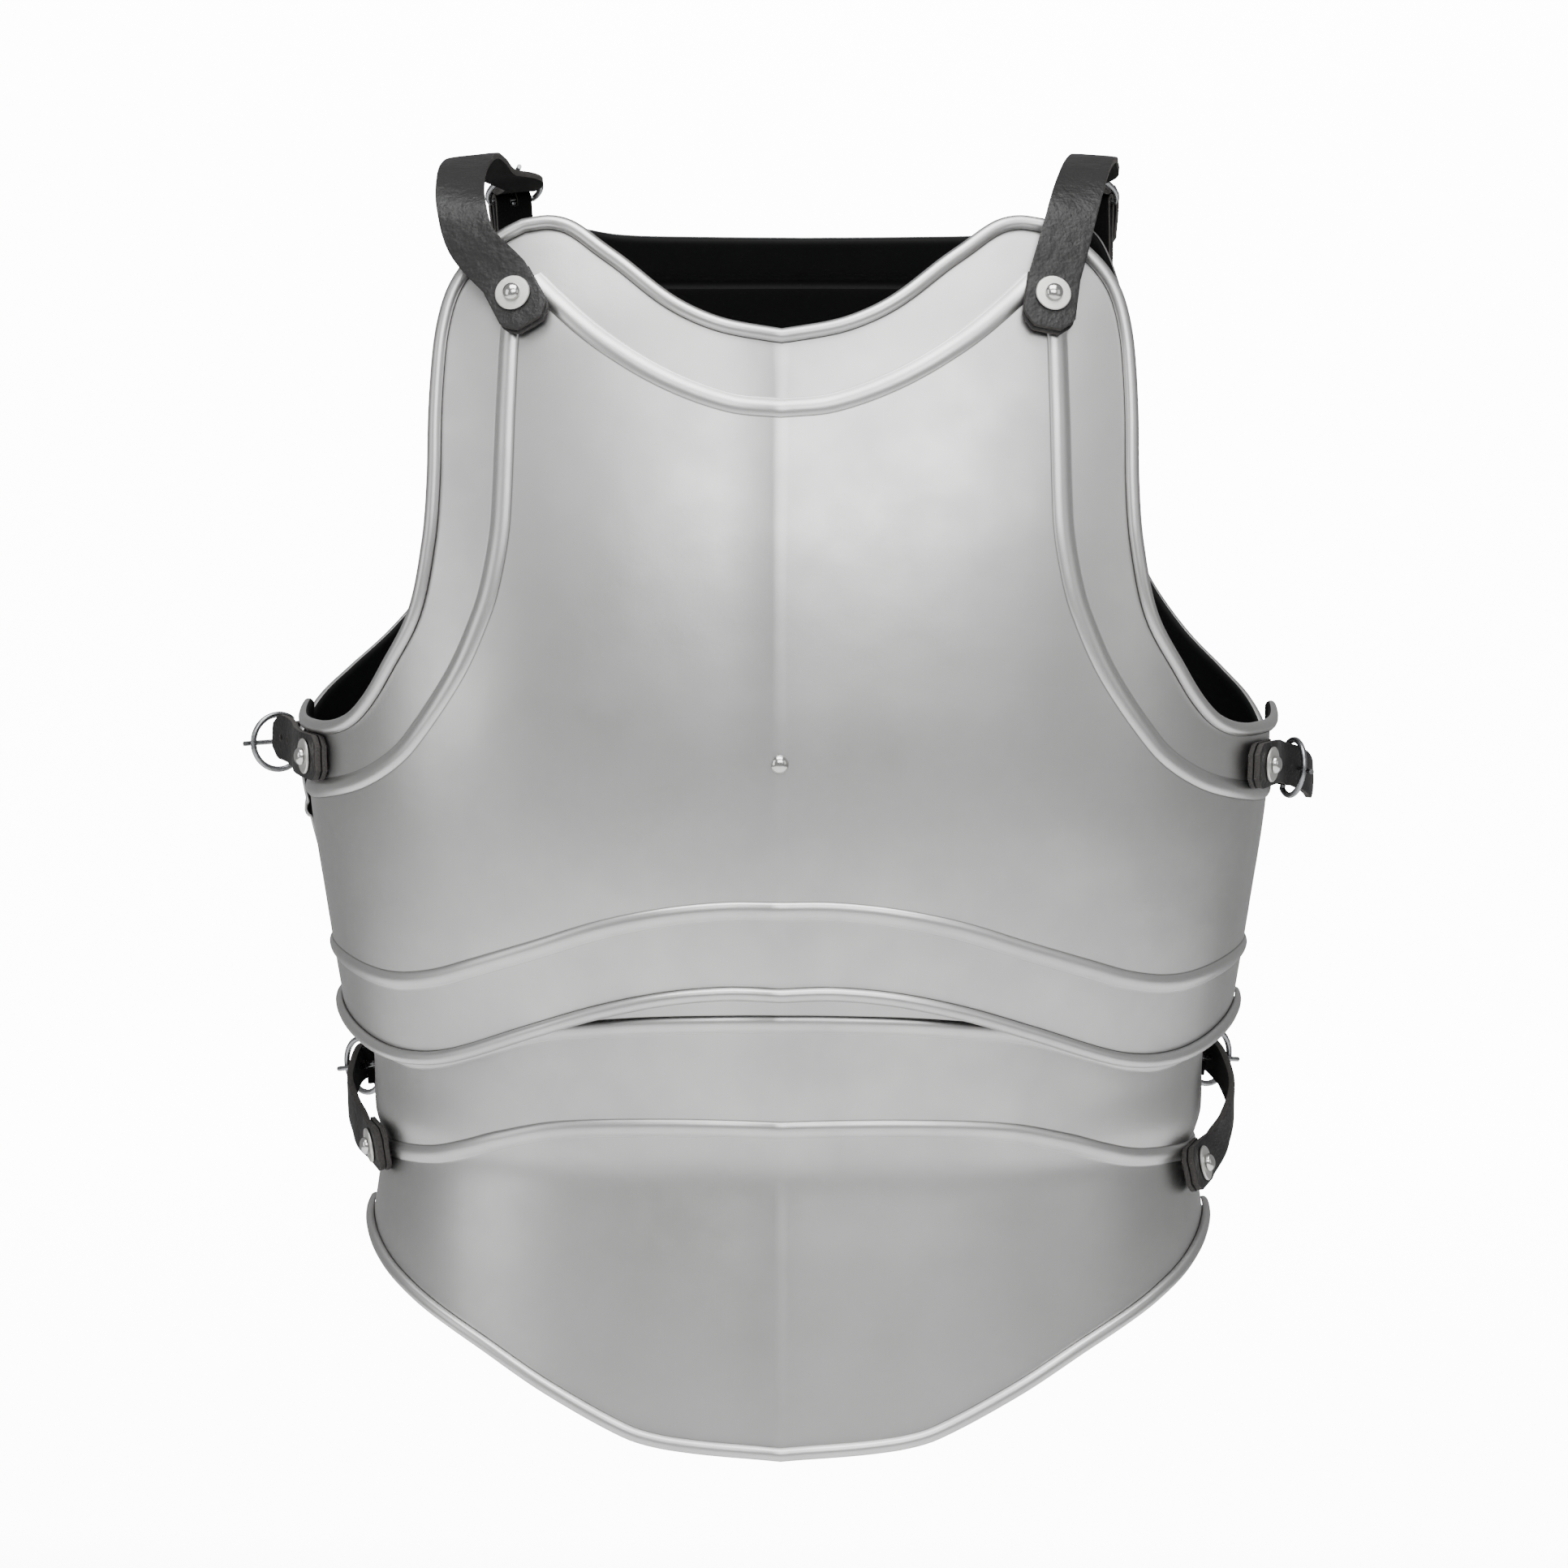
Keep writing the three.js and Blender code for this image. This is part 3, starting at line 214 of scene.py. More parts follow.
# Each fastening: its front rivet and its back rivet (the anchor) by girth and height, their lift off the
# steel, and the way the leather runs from them in degrees; the buckle's bar and tilt; the strap's course by
# place and width direction; and its threading through the ring, ahead of and out from the back rivet
FASTENINGS = [
    {
        "name": "shoulder_left", "plate": CHEST, "width": 22, "taper": 0.77,
        "rivet": (-98, -60), "lift": 2.3, "way": -33,
        "anchor": (-116, -55), "back_lift": 4.2, "back_way": 5,
        "bar": {"ahead": 32.5, "out": 9.4}, "tilt": -38, "prong_side": 1,
        "course": [
            (-129.5, -74, -36, 0.86, -0.1, 0.45),
            (-134.4, -66, -21.6, 0.97, 0.1, 0.25),
            (-136, -52, -12.4, 0.88, 0.45, 0.1),
            (-136, -30, -5, 0.86, 0.48, 0.1),
            (-134, -2, -1.3, 0.9, 0.4, 0.1),
            (-131.5, 25, -3.8, 0.93, 0.3, 0.05),
            (-128.5, 50, -8.3, 0.98, 0.15, 0),
        ],
        "threading": [(45, -7.7), (38.5, 4.9), (38, 13.6), (32.6, 16.2), (25.8, 14.8), (17.5, 10.9),
                (10, 9.5)],
    },
    {
        "name": "shoulder_right", "plate": CHEST, "width": 22, "taper": 0.77,
        "rivet": (98, -60), "lift": 2.3, "way": 13,
        "anchor": (116.5, -57), "back_lift": 4.2, "back_way": 0,
        "bar": {"ahead": 34, "out": 9.4}, "tilt": -38, "prong_side": 1,
        "course": [
            (116.5, -74, -36, 0.96, 0.1, -0.27),
            (120.5, -65, -21.5, 0.96, 0, -0.25),
            (124, -49, -11, 0.96, -0.2, -0.15),
            (127, -28, -4.5, 0.95, -0.25, -0.1),
            (130.3, -2, -1.3, 0.97, -0.22, -0.07),
            (132, 25, -3.8, 0.98, -0.15, -0.03),
            (132.8, 50, -8.3, 1, -0.05, 0),
        ],
        "threading": [(46.5, -7.7), (40, 4.9), (39.5, 13.6), (34.1, 16.2), (27.3, 14.8), (19, 10.9),
                (11.5, 9.5)],
    },
    {
        "name": "side_left", "plate": CHEST, "width": 19.5, "taper": 1,
        "rivet": (-211, -253.5), "lift": 0, "way": -90,
        "anchor": (-204, -255), "back_lift": 0.7, "back_way": 90,
        "bar": {"ahead": 22.5, "out": 5}, "tilt": 35, "prong_side": 1,
        "course": [
            (-209.8, -25.5, -253, 0, 0, 1),
            (-212.5, -9, -252.5, 0, 0, 1),
            (-216.5, 4, -251.5, 0, 0, 1),
            (-223.5, 15, -250.5, 0, 0, 1),
        ],
        "threading": [],
    },
    {
        "name": "side_right", "plate": CHEST, "width": 19.5, "taper": 0.86,
        "rivet": (213, -256), "lift": 1.2, "way": 90,
        "anchor": (222, -262), "back_lift": 3.5, "back_way": -90,
        "bar": {"ahead": 30, "out": 1.6}, "tilt": 5, "prong_side": 1,
        "course": [
            (209.3, -24, -257, 0, 0, 1),
            (211, -12, -258.5, 0, 0, 1),
            (213.2, -3, -260, 0, 0, 1),
            (218.3, 3.3, -262, 0, 0, 1),
            (222.8, 11.5, -265, 0, 0, 1),
            (225.3, 19.5, -268.5, 0, 0, 1),
            (226.6, 27.5, -272.5, 0, 0, 1),
        ],
        "threading": [],
    },
    {
        "name": "waist_left", "plate": BELLY, "width": 19.5, "taper": 0.82,
        "rivet": (-225, -422), "lift": 2.3, "way": -85,
        "anchor": (-204, -396), "back_lift": 1, "back_way": 90,
        "bar": {"ahead": 20, "out": 4}, "tilt": 111, "prong_side": -1,
        "course": [
            (-184.7, -10, -419, 0, 0, 1),
            (-188, -1, -414.5, 0, -0.2, 1),
            (-191, 8, -407.5, 0, -0.3, 1),
            (-190.6, 19, -401, 0, -0.2, 1),
            (-189, 30.5, -397, 0, 0, 1),
            (-185, 42, -396, 0, 0, 1),
        ],
        "threading": [],
    },
    {
        "name": "waist_right", "plate": BELLY, "width": 19.5, "taper": 0.82,
        "rivet": (225, -431), "lift": 2.3, "way": 85,
        "anchor": (204, -391), "back_lift": 0.5, "back_way": -90,
        "bar": {"ahead": 20, "out": 4}, "tilt": 107, "prong_side": -1,
        "course": [
            (183.5, -12, -427, 0, 0, 1),
            (189, -3, -419, 0, -0.3, 1),
            (192.3, 6, -407, 0, -0.5, 1),
            (189.4, 18, -397, 0, -0.3, 1),
            (185.2, 30, -392.5, 0, 0, 1),
            (182, 42, -391.5, 0, 0, 1),
        ],
        "threading": [],
    },
]


# Smooth tables

def slope_at(knots, values, i):
    before = max(i - 1, 0)
    after = min(i + 1, len(knots) - 1)
    return (values[after] - values[before]) / (knots[after] - knots[before])


def smooth_value(knots, values, at):
    last = len(knots) - 1
    order = -1 if knots[last] < knots[0] else 1
    if (at - knots[0]) * order <= 0:
        return values[0] + (at - knots[0]) * slope_at(knots, values, 0)
    if (at - knots[last]) * order >= 0:
        return values[last] + (at - knots[last]) * slope_at(knots, values, last)
    i = 0
    while (at - knots[i + 1]) * order > 0:
        i += 1
    step = knots[i + 1] - knots[i]
    t = (at - knots[i]) / step
    t2 = t * t
    t3 = t2 * t
    start = (2 * t3 - 3 * t2 + 1) * values[i] + (t3 - 2 * t2 + t) * slope_at(knots, values, i) * step
    end = (3 * t2 - 2 * t3) * values[i + 1] + (t3 - t2) * slope_at(knots, values, i + 1) * step
    return start + end


SECTION_HEIGHTS = np.arange(-560.0, 20.0, 0.5)


def section_curves(rows):
    knots = [row[0] for row in rows]
    curves = []
    for k in (1, 2, 3):
        values = [row[k] for row in rows]
        curves.append(np.array([smooth_value(knots, values, z) for z in SECTION_HEIGHTS]))
    return curves


for plate in (CHEST, BELLY, BACK):
    plate["curves"] = section_curves(plate["sections"])


# Places on a plate, from girths and heights, all in millimetres

def body_points(plate, girths, heights):
    half, depth, shift = (np.interp(heights, SECTION_HEIGHTS, curve) for curve in plate["curves"])
    angle = girths / GIRTH_RADIUS
    fuller = 1 + SQUARENESS * np.sin(2 * angle) ** 2
    x = half * np.sin(angle) * fuller + shift
    y = plate["side"] * depth * np.cos(angle) * fuller
    return np.stack([x, y, heights], axis=-1)


def outward(plate, girths, heights):
    round_step = body_points(plate, girths + 1, heights) - body_points(plate, girths - 1, heights)
    up_step = body_points(plate, girths, heights + 1) - body_points(plate, girths, heights - 1)
    normal = np.cross(round_step, up_step) * -plate["side"]
    return normal / np.linalg.norm(normal, axis=-1, keepdims=True)


def plate_points(plate, girths, heights, lifts):
    girths, heights, lifts = (np.asarray(values, dtype=float) for values in (girths, heights, lifts))
    points = body_points(plate, girths, heights) + outward(plate, girths, heights) * lifts[..., None]
    near_ridge = np.clip(1 - np.abs(girths) / RIDGE_WIDTH, 0, 1)
    points[..., 1] += plate["side"] * plate["ridge"] * near_ridge ** 2
    return points


def line_points(rows, count):
    knots = [0]
    for a, b in zip(rows, rows[1:]):
        knots.append(knots[-1] + math.hypot(b[0] - a[0], b[1] - a[1]))
    shares = np.linspace(0, knots[-1], count + 1)
    return np.array([[smooth_value(knots, [row[k] for row in rows], at) for k in (0, 1)] for at in shares])


def line_at_girths(rows, girths):
    line = line_points(rows, LINE_SAMPLES)
    return np.stack([girths, np.interp(girths, line[:, 0], line[:, 1])], axis=-1)


# Moves a half line sideways, to the left of its direction; its ends stay on the middle and the side.
# Where the line turns sharply, between the neck and the arm, the corner is cut so that it can't fold.
def moved_line(line, distance, side_girth):
    steps = np.diff(line, axis=0)
    steps /= np.linalg.norm(steps, axis=1, keepdims=True)
    before = np.vstack([steps[:1], steps])
    after = np.vstack([steps, steps[-1:]])
    along = before + after
    size = np.linalg.norm(along, axis=1, keepdims=True)
    mitre = np.minimum(2 / size, MITRE_CAP)
    moved = line + np.stack([-along[:, 1], along[:, 0]], axis=-1) / size * distance * mitre
    bends = np.sum(steps[:-1] * steps[1:], axis=1)
    if bends.min() < SHARP_BEND:
        first = int(np.argmin(bends)) + 1 - CORNER_POINTS
        last = first + 2 * CORNER_POINTS
        moved[first:last + 1] = straight_line(moved[first], moved[last], last - first)
    moved[0, 0] = 0
    moved[-1, 0] = side_girth
    return moved


# A row of a plate's mesh: a half line of girths and heights, its lift, and how much painted shade darkens it
# as a crease
def row(line, lift, crease=0.0):
    return {"line": line, "lift": np.full(len(line), float(lift)), "crease": crease}


def blend_lines(a, b, share):
    return a + (b - a) * share


# A bead's rows: share of its half width, height in mm and how much painted shade darkens the crease there
BEAD_ROWS = [(-1.16, 0, 0), (-1, 0, 1), (-0.93, 0.5, 0.3), (-0.78, 1.0, 0), (-0.5, 1.5, 0), (-0.2, 1.7, 0),
    (0.1, 1.65, 0), (0.4, 1.35, 0), (0.66, 0.85, 0), (0.86, 0.35, 0), (0.96, 0.1, 0.2), (1.02, 0, 0.7),
    (1.16, 0, 0)]


# An embossed bead's rows, from its near crease to its far one: a round section between two sharp creases
def bead_rows(line, direction, side_girth):
    rows = []
    for share, lift, crease in BEAD_ROWS:
        rows.append(row(moved_line(line, direction * share * BEAD_HALF_WIDTH, side_girth), lift, crease))
    return rows


# A rolled edge's rows: the sheet runs out to the edge, turns outwards and curls back onto the face
def roll_rows(edge, direction, side_girth):
    inner = ROLL_RADIUS - STEEL
    rows = []
    for radii, crease in ROLL_FOOT:
        rows.append(row(moved_line(edge, -direction * (radii * ROLL_RADIUS), side_girth), 0, crease))
    for k in range(ROLL_STEPS + 1):
        turn = math.radians(ROLL_TURN * k / ROLL_STEPS)
        inwards = ROLL_RADIUS - inner * math.sin(turn)
        lift = ROLL_FLATTENED * inner * (1 - math.cos(turn))
        rows.append(row(moved_line(edge, -direction * inwards, side_girth), lift, 0))
    return rows


# The paint inside a plate runs this many rows into the roll
PAINTED_ROLL_ROWS = 6


def spread(first, last, count):
    return [row(blend_lines(first["line"], last["line"], k / count), 0) for k in range(1, count)]


# Fills a four-sided field between its top, right, bottom and left lines
def field_rows(top, right, bottom, left):
    u = np.linspace(0, 1, len(top))[None, :, None]
    v = np.linspace(0, 1, len(left))[:, None, None]
    across = left[:, None, :] * (1 - u) + right[:, None, :] * u
    down = top[None, :, :] * (1 - v) + bottom[None, :, :] * v
    upper = top[0] * (1 - u) + top[-1] * u
    lower = bottom[0] * (1 - u) + bottom[-1] * u
    grid = across + down - upper * (1 - v) - lower * v
    return [row(line, 0) for line in grid]


def straight_line(a, b, count):
    return np.array([blend_lines(np.array(a), np.array(b), k / count) for k in range(count + 1)])


# Meshes

def grid_mesh(columns, rows):
    bm = bmesh.new()
    bm.verts.layers.float.new("crease")
    bm.loops.layers.uv.new("run")
    bmesh.ops.create_grid(bm, x_segments=columns, y_segments=rows, size=1)
    spots = {}
    for vert in bm.verts:
        spots[round((vert.co.x + 1) / 2 * columns), round((vert.co.y + 1) / 2 * rows)] = vert
    return bm, spots


# Rows of a half become one grid from side to side, added to the plate's mesh
def add_patch(target, plate, rows, roll_from=None):
    width = len(rows[0]["line"]) - 1
    bm, spots = grid_mesh(2 * width, len(rows) - 1)
    crease = bm.verts.layers.float["crease"]
    for j, entry in enumerate(rows):
        line = entry["line"]
        full = np.vstack([line[:0:-1] * [-1, 1], line])
        lifts = np.concatenate([entry["lift"][:0:-1], entry["lift"]])
        for i, place in enumerate(plate_points(plate, full[:, 0], full[:, 1], lifts)):
            vert = spots[i, j]
            vert.co = Vector(place) * MM
            # The crease value sets how much painted shade darkens the steel at this row
            vert[crease] = entry["crease"]
    if roll_from is not None:
        rolled = {spots[i, j] for i in range(2 * width + 1) for j in range(roll_from, len(rows))}
        for face in bm.faces:
            if all(vert in rolled for vert in face.verts):
                face.material_index = 2
    patch = bpy.data.meshes.new("patch")
    bm.to_mesh(patch)
    bm.free()
    target.from_mesh(patch)
    bpy.data.meshes.remove(patch)


def piece_from(bm, name, materials, node, sharp=35):
    mesh = bpy.data.meshes.new(name)
    bm.to_mesh(mesh)
    bm.free()
    mesh.shade_smooth()
    mesh.set_sharp_from_angle(angle=math.radians(sharp))
    for material in materials:
        mesh.materials.append(material)
    piece = bpy.data.objects.new(name, mesh)
    bpy.context.scene.collection.objects.link(piece)
    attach(piece, "root")
    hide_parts(node)
    return piece


def give_wall(piece, thickness, rim=0, inner=0, bevel=0.0, even=True):
    wall = piece.modifiers.new("wall", "SOLIDIFY")
    wall.thickness = thickness * MM
    wall.offset = -1
    wall.use_even_offset = even
    wall.material_offset = inner
    wall.material_offset_rim = rim
    if bevel:
        edge = piece.modifiers.new("edge", "BEVEL")
        edge.width = bevel * MM
        edge.segments = 2
        edge.limit_method = "ANGLE"
        edge.angle_limit = math.radians(50)


def join_plate(bm, plate, name, node):
    bmesh.ops.remove_doubles(bm, verts=bm.verts, dist=PLATE_MERGED * MM)
    bmesh.ops.recalc_face_normals(bm, faces=bm.faces)
    flat = max((face for face in bm.faces if face.material_index == 0), key=lambda face: abs(face.normal.y))
    if flat.normal.y * plate["side"] < 0:
        bmesh.ops.reverse_faces(bm, faces=bm.faces)
    piece = piece_from(bm, name, [steel, black_paint, steel, steel], node)
    give_wall(piece, STEEL, inner=1, even=False)
    return piece


def shouldered_plate(plate, name, node):
    side = plate["side_girth"]
    lines = []
    for kind in ("bead", "edge"):
        neck = line_points(plate[f"neck_{kind}"], NECK_COLUMNS)
        arm = line_points(plate[f"arm_{kind}"], ARM_COLUMNS)
        lines.append(np.vstack([neck, arm[1:]]))
    upper = bead_rows(lines[0], 1, side)
    rolled = roll_rows(lines[1], 1, side)
    upper += spread(upper[-1], rolled[0], BEAD_TO_ROLL_ROWS)
    roll_from = len(upper) + PAINTED_ROLL_ROWS
    upper += rolled
    crease = upper[0]["line"]
    turn = NECK_COLUMNS + YOKE_ROWS
    centre_turn = np.array([0.0, crease[turn][1]])
    yoke_line = straight_line(centre_turn, crease[turn], NECK_COLUMNS)
    yoke = field_rows(crease[:NECK_COLUMNS + 1], crease[NECK_COLUMNS:turn + 1], yoke_line,
        straight_line(crease[0], centre_turn, YOKE_ROWS))
    panel_top = np.vstack([yoke_line, crease[turn + 1:]])
    waist = line_at_girths(plate["waist_bead"], panel_top[:, 0])
    bottom = line_at_girths(plate["bottom_edge"], panel_top[:, 0])
    lower = bead_rows(waist, -1, side)
    low_roll = roll_rows(bottom, -1, side)
    lower += spread(lower[-1], low_roll[0], WAIST_TO_ROLL_ROWS)
    low_roll_from = len(lower) + PAINTED_ROLL_ROWS
    lower += low_roll
    waist_crease = lower[0]["line"]
    panel = field_rows(panel_top, straight_line(panel_top[-1], waist_crease[-1], PANEL_ROWS), waist_crease,
        straight_line(centre_turn, waist_crease[0], PANEL_ROWS))
    bm = bmesh.new()
    bm.verts.layers.float.new("crease")
    add_patch(bm, plate, upper, roll_from)
    add_patch(bm, plate, yoke)
    add_patch(bm, plate, panel)
    add_patch(bm, plate, lower, low_roll_from)
    return join_plate(bm, plate, name, node)


def skirted_plate(plate, name, node):
    side = plate["side_girth"]
    girths = np.linspace(0, side, SKIRT_COLUMNS + 1)
    top, upper, lower, bottom = (line_at_girths(plate[key], girths)
        for key in ("top_edge", "upper_bead", "lower_bead", "bottom_edge"))
    upper_bead = bead_rows(upper, -1, side)
    lower_bead = bead_rows(lower, -1, side)
    rolled = roll_rows(bottom, -1, side)
    above, between, below = SKIRT_ROWS
    rows = [row(top, 0)]
    rows += spread(rows[0], upper_bead[0], above) + upper_bead
    rows += spread(upper_bead[-1], lower_bead[0], between) + lower_bead
    rows += spread(lower_bead[-1], rolled[0], below)
    roll_from = len(rows) + PAINTED_ROLL_ROWS
    rows += rolled
    bm = bmesh.new()
    bm.verts.layers.float.new("crease")
    add_patch(bm, plate, rows, roll_from)
    return join_plate(bm, plate, name, node)


# Fastenings: each has a flat frame on its plate, with ahead along the leather and out from the steel

def turned_frame(plate, place, degrees, lift):
    girth, height = (np.array([float(value)]) for value in place)
    out = Vector(outward(plate, girth, height)[0])
    up = Vector((0, 0, 1))
    up = (up - out * up.dot(out)).normalized()
    across = up.cross(out)
    turn = math.radians(degrees)
    ahead = up * math.cos(turn) + across * math.sin(turn)
    origin = Vector(body_points(plate, girth, height)[0]) + out * lift
    return {"origin": origin, "ahead": ahead, "out": out, "across": ahead.cross(out)}


def in_plane(place, ahead, out, across=0.0):
    return place["origin"] + place["ahead"] * ahead + place["out"] * out + place["across"] * across


# A path for leather: its centre line, the direction of its width and the share of its full width
def path_of(stations):
    at = np.array([entry[0] for entry in stations])
    wide = np.array([entry[1] for entry in stations])
    share = np.array([entry[2] for entry in stations])
    along = np.gradient(at, axis=0)
    along /= np.linalg.norm(along, axis=1, keepdims=True)
    side = wide - along * np.sum(wide * along, axis=1, keepdims=True)
    side /= np.linalg.norm(side, axis=1, keepdims=True)
    steps = np.linalg.norm(np.diff(at, axis=0), axis=1)
    run = np.concatenate([[0], np.cumsum(steps)])
    return {"at": at, "side": side, "out": np.cross(side, along), "share": share, "run": run}


def path_value(path, key, run):
    if path[key].ndim == 1:
        return np.interp(run, path["run"], path[key])
    return np.array([np.interp(run, path["run"], path[key][:, k]) for k in range(3)])


# Sheet leather laid along a path: a grid on its outer face, given a wall and a cut edge
def leather_piece(name, path, width, thickness, spots_across, step, node, holes=(), slot_gap=None,
        crown=0.25):
    length = path["run"][-1]
    count = max(4, round(length / step))
    columns = [length * k / count for k in range(count + 1)]
    bm, spots = grid_mesh(count, len(spots_across) - 1)
    flat = {}
    for (i, j) in spots:
        flat[i, j] = [columns[i], spots_across[j] * width / 2]
    doomed = []
    middle = len(spots_across) // 2
    for place, radius in holes:
        i = min(range(1, count), key=lambda k: abs(columns[k] - place))
        for di in (-1, 0, 1):
            for dj in (-1, 0, 1):
                size = math.hypot(di, dj) or 1
                flat[i + di, middle + dj] = [columns[i] + radius * di / size, radius * dj / size]
        doomed.append(spots[i, middle])
    uv = bm.loops.layers.uv["run"]

    def middle_of(face):
        return [sum(loop[uv].uv[k] for loop in face.loops) / len(face.loops) * RUN_UNIT for k in (0, 1)]

    for key, vert in spots.items():
        run, sideways = flat[key]
        share = path_value(path, "share", run)
        edge = abs(sideways) / (width / 2)
        outer = thickness / 2 - crown * edge ** 4
        at = path_value(path, "at", run) + path_value(path, "side", run) * sideways * share
        vert.co = Vector(at + path_value(path, "out", run) * outer) * MM
    for key, vert in spots.items():
        for loop in vert.link_loops:
            loop[uv].uv = (flat[key][0] / RUN_UNIT, flat[key][1] / RUN_UNIT)
    if doomed:
        bmesh.ops.delete(bm, geom=doomed, context="VERTS")
    if slot_gap:
        low, high, half = slot_gap
        gone = []
        for face in bm.faces:
            along, sideways = middle_of(face)
            if low < along < high and abs(sideways) < half:
                gone.append(face)
        bmesh.ops.delete(bm, geom=gone, context="FACES")
    bm.normal_update()
    bm.faces.ensure_lookup_table()
    probe = bm.faces[0]
    if probe.normal.dot(Vector(path_value(path, "out", middle_of(probe)[0]))) < 0:
        bmesh.ops.reverse_faces(bm, faces=bm.faces)
    piece = piece_from(bm, name, [leather, cut_edge, flesh_side], node, sharp=60)
    give_wall(piece, thickness, rim=1, inner=2, bevel=0.35)
    return piece


# Where the points lie across a strap and a chape, as shares of the half width
ACROSS = (-1, -0.93, -0.75, -0.5, -0.25, 0, 0.25, 0.5, 0.75, 0.93, 1)
CHAPE_ACROSS = (-1, -0.9, -0.55, -0.2, 0.2, 0.55, 0.9, 1)


def strap_path(fastening, front, back):
    def flat(ahead):
        return in_plane(front, ahead, STRAP_SEAT)

    rows = [(flat(FLAT_AHEAD), front["across"])]
    first = fastening["course"][0]
    sign = math.copysign(1, first[3] * front["across"].x + first[5] * front["across"].z)
    for x, y, z, wx, wy, wz in fastening["course"]:
        rows.append((Vector((x, y, z)), Vector((wx, wy, wz)).normalized() * sign))
    turned = back["across"] * math.copysign(1, back["across"].dot(rows[-1][1]))
    for ahead, out in fastening["threading"]:
        rows.append((in_plane(back, ahead, out), turned))
    knots = [0]
    for a, b in zip(rows, rows[1:]):
        knots.append(knots[-1] + (b[0] - a[0]).length)
    flat_count = round((STRAP_END + FLAT_AHEAD) / PATH_STEP)
    stations = [(flat(-STRAP_END + PATH_STEP * k), front["across"]) for k in range(flat_count)]
    count = round(knots[-1] / PATH_STEP)
    for k in range(count + 1):
        at = knots[-1] * k / count
        place = Vector([smooth_value(knots, [entry[0][axis] for entry in rows], at) for axis in range(3)])
        wide = Vector([smooth_value(knots, [entry[1][axis] for entry in rows], at) for axis in range(3)])
        stations.append((place, wide.normalized()))
    full = knots[-1] + STRAP_END + FLAT_AHEAD
    shared = []
    run = 0
    for k, (place, wide) in enumerate(stations):
        if k:
            run += (place - stations[k - 1][0]).length
        ends = min(run, full - run)
        clip = min(1, CLIPPED + (1 - CLIPPED) * ends / CLIP)
        shared.append((place, wide, clip * (1 + (fastening["taper"] - 1) * run / full)))
    return path_of(shared)


def backing_path(front):
    stations = []
    for k in range(END_STEPS + 1):
        ahead = -STRAP_END - 1 + (BACKING_AHEAD + STRAP_END + 1) * k / END_STEPS
        clip = min(1, CLIPPED + (1 - CLIPPED) * (ahead + STRAP_END + 1) / CLIP)
        stations.append((in_plane(front, ahead, BACKING_SEAT), front["across"], clip))
    return path_of(stations)


def chape_path(back, bar):
    slope = math.atan2(bar["out"] - (CHAPE_SEAT + CHAPE_TOP) / 2, bar["ahead"] - CHAPE_AHEAD)
    places = [(-CHAPE_BEHIND, CHAPE_TOP), (CHAPE_AHEAD, CHAPE_TOP)]
    for k in range(FOLD_STEPS + 1):
        turn = slope + math.pi / 2 - math.pi * k / FOLD_STEPS
        ahead = bar["ahead"] + FOLD_RADIUS * math.cos(turn)
        places.append((ahead, bar["out"] + FOLD_RADIUS * math.sin(turn)))
    places += [(CHAPE_AHEAD, CHAPE_SEAT), (-CHAPE_BEHIND, CHAPE_SEAT)]
    stations = []
    for (a, b), (c, d) in zip(places, places[1:]):
        count = max(1, round(math.hypot(c - a, d - b) / PATH_STEP))
        for k in range(count):
            t = k / count
            stations.append((in_plane(back, a + (c - a) * t, b + (d - b) * t), -back["across"], 1))
    stations.append((in_plane(back, *places[-1]), -back["across"], 1))
    return path_of(stations)


# Round wire along points: a grid rolled into a tube, with closed ends or joined into a ring
def wire_piece(name, points, radius, closed, node, sides=14):
    count = len(points) if closed else len(points) - 1
    bm, spots = grid_mesh(count, sides)
    total = len(points)
    flat = (points[1] - points[0]).cross(points[2 * total // 3] - points[0]).normalized()
    for (i, j), vert in spots.items():
        here = i % total
        before = points[(here - 1) % total] if closed else points[max(here - 1, 0)]
        after = points[(here + 1) % total] if closed else points[min(here + 1, total - 1)]
        side = (after - before).normalized().cross(flat).normalized()
        turn = 2 * math.pi * j / sides
        vert.co = (points[here] + side * radius * math.cos(turn) + flat * radius * math.sin(turn)) * MM
    bmesh.ops.remove_doubles(bm, verts=bm.verts, dist=MERGED * MM)
    if not closed:
        bmesh.ops.holes_fill(bm, edges=[edge for edge in bm.edges if edge.is_boundary], sides=0)
    bmesh.ops.recalc_face_normals(bm, faces=bm.faces)
    return piece_from(bm, name, [wire], node, sharp=50)


def buckle_points(back, bar, tilt):
    half_bar = math.sqrt(BUCKLE_RADIUS ** 2 - BAR_OFFSET ** 2)
    start = math.atan2(-BAR_OFFSET, half_bar)
    sweep = math.pi - 2 * start

    def spot(far, across):
        return in_plane(back, bar["ahead"] + far * math.cos(tilt), bar["out"] + far * math.sin(tilt), across)

    points = []
    for k in range(RING_STEPS + 1):
        turn = start + sweep * k / RING_STEPS
        points.append(spot(BAR_OFFSET + BUCKLE_RADIUS * math.sin(turn), BUCKLE_RADIUS * math.cos(turn)))
    for k in range(1, BAR_STEPS):
        points.append(spot(0, -half_bar + 2 * half_bar * k / BAR_STEPS))
    return points


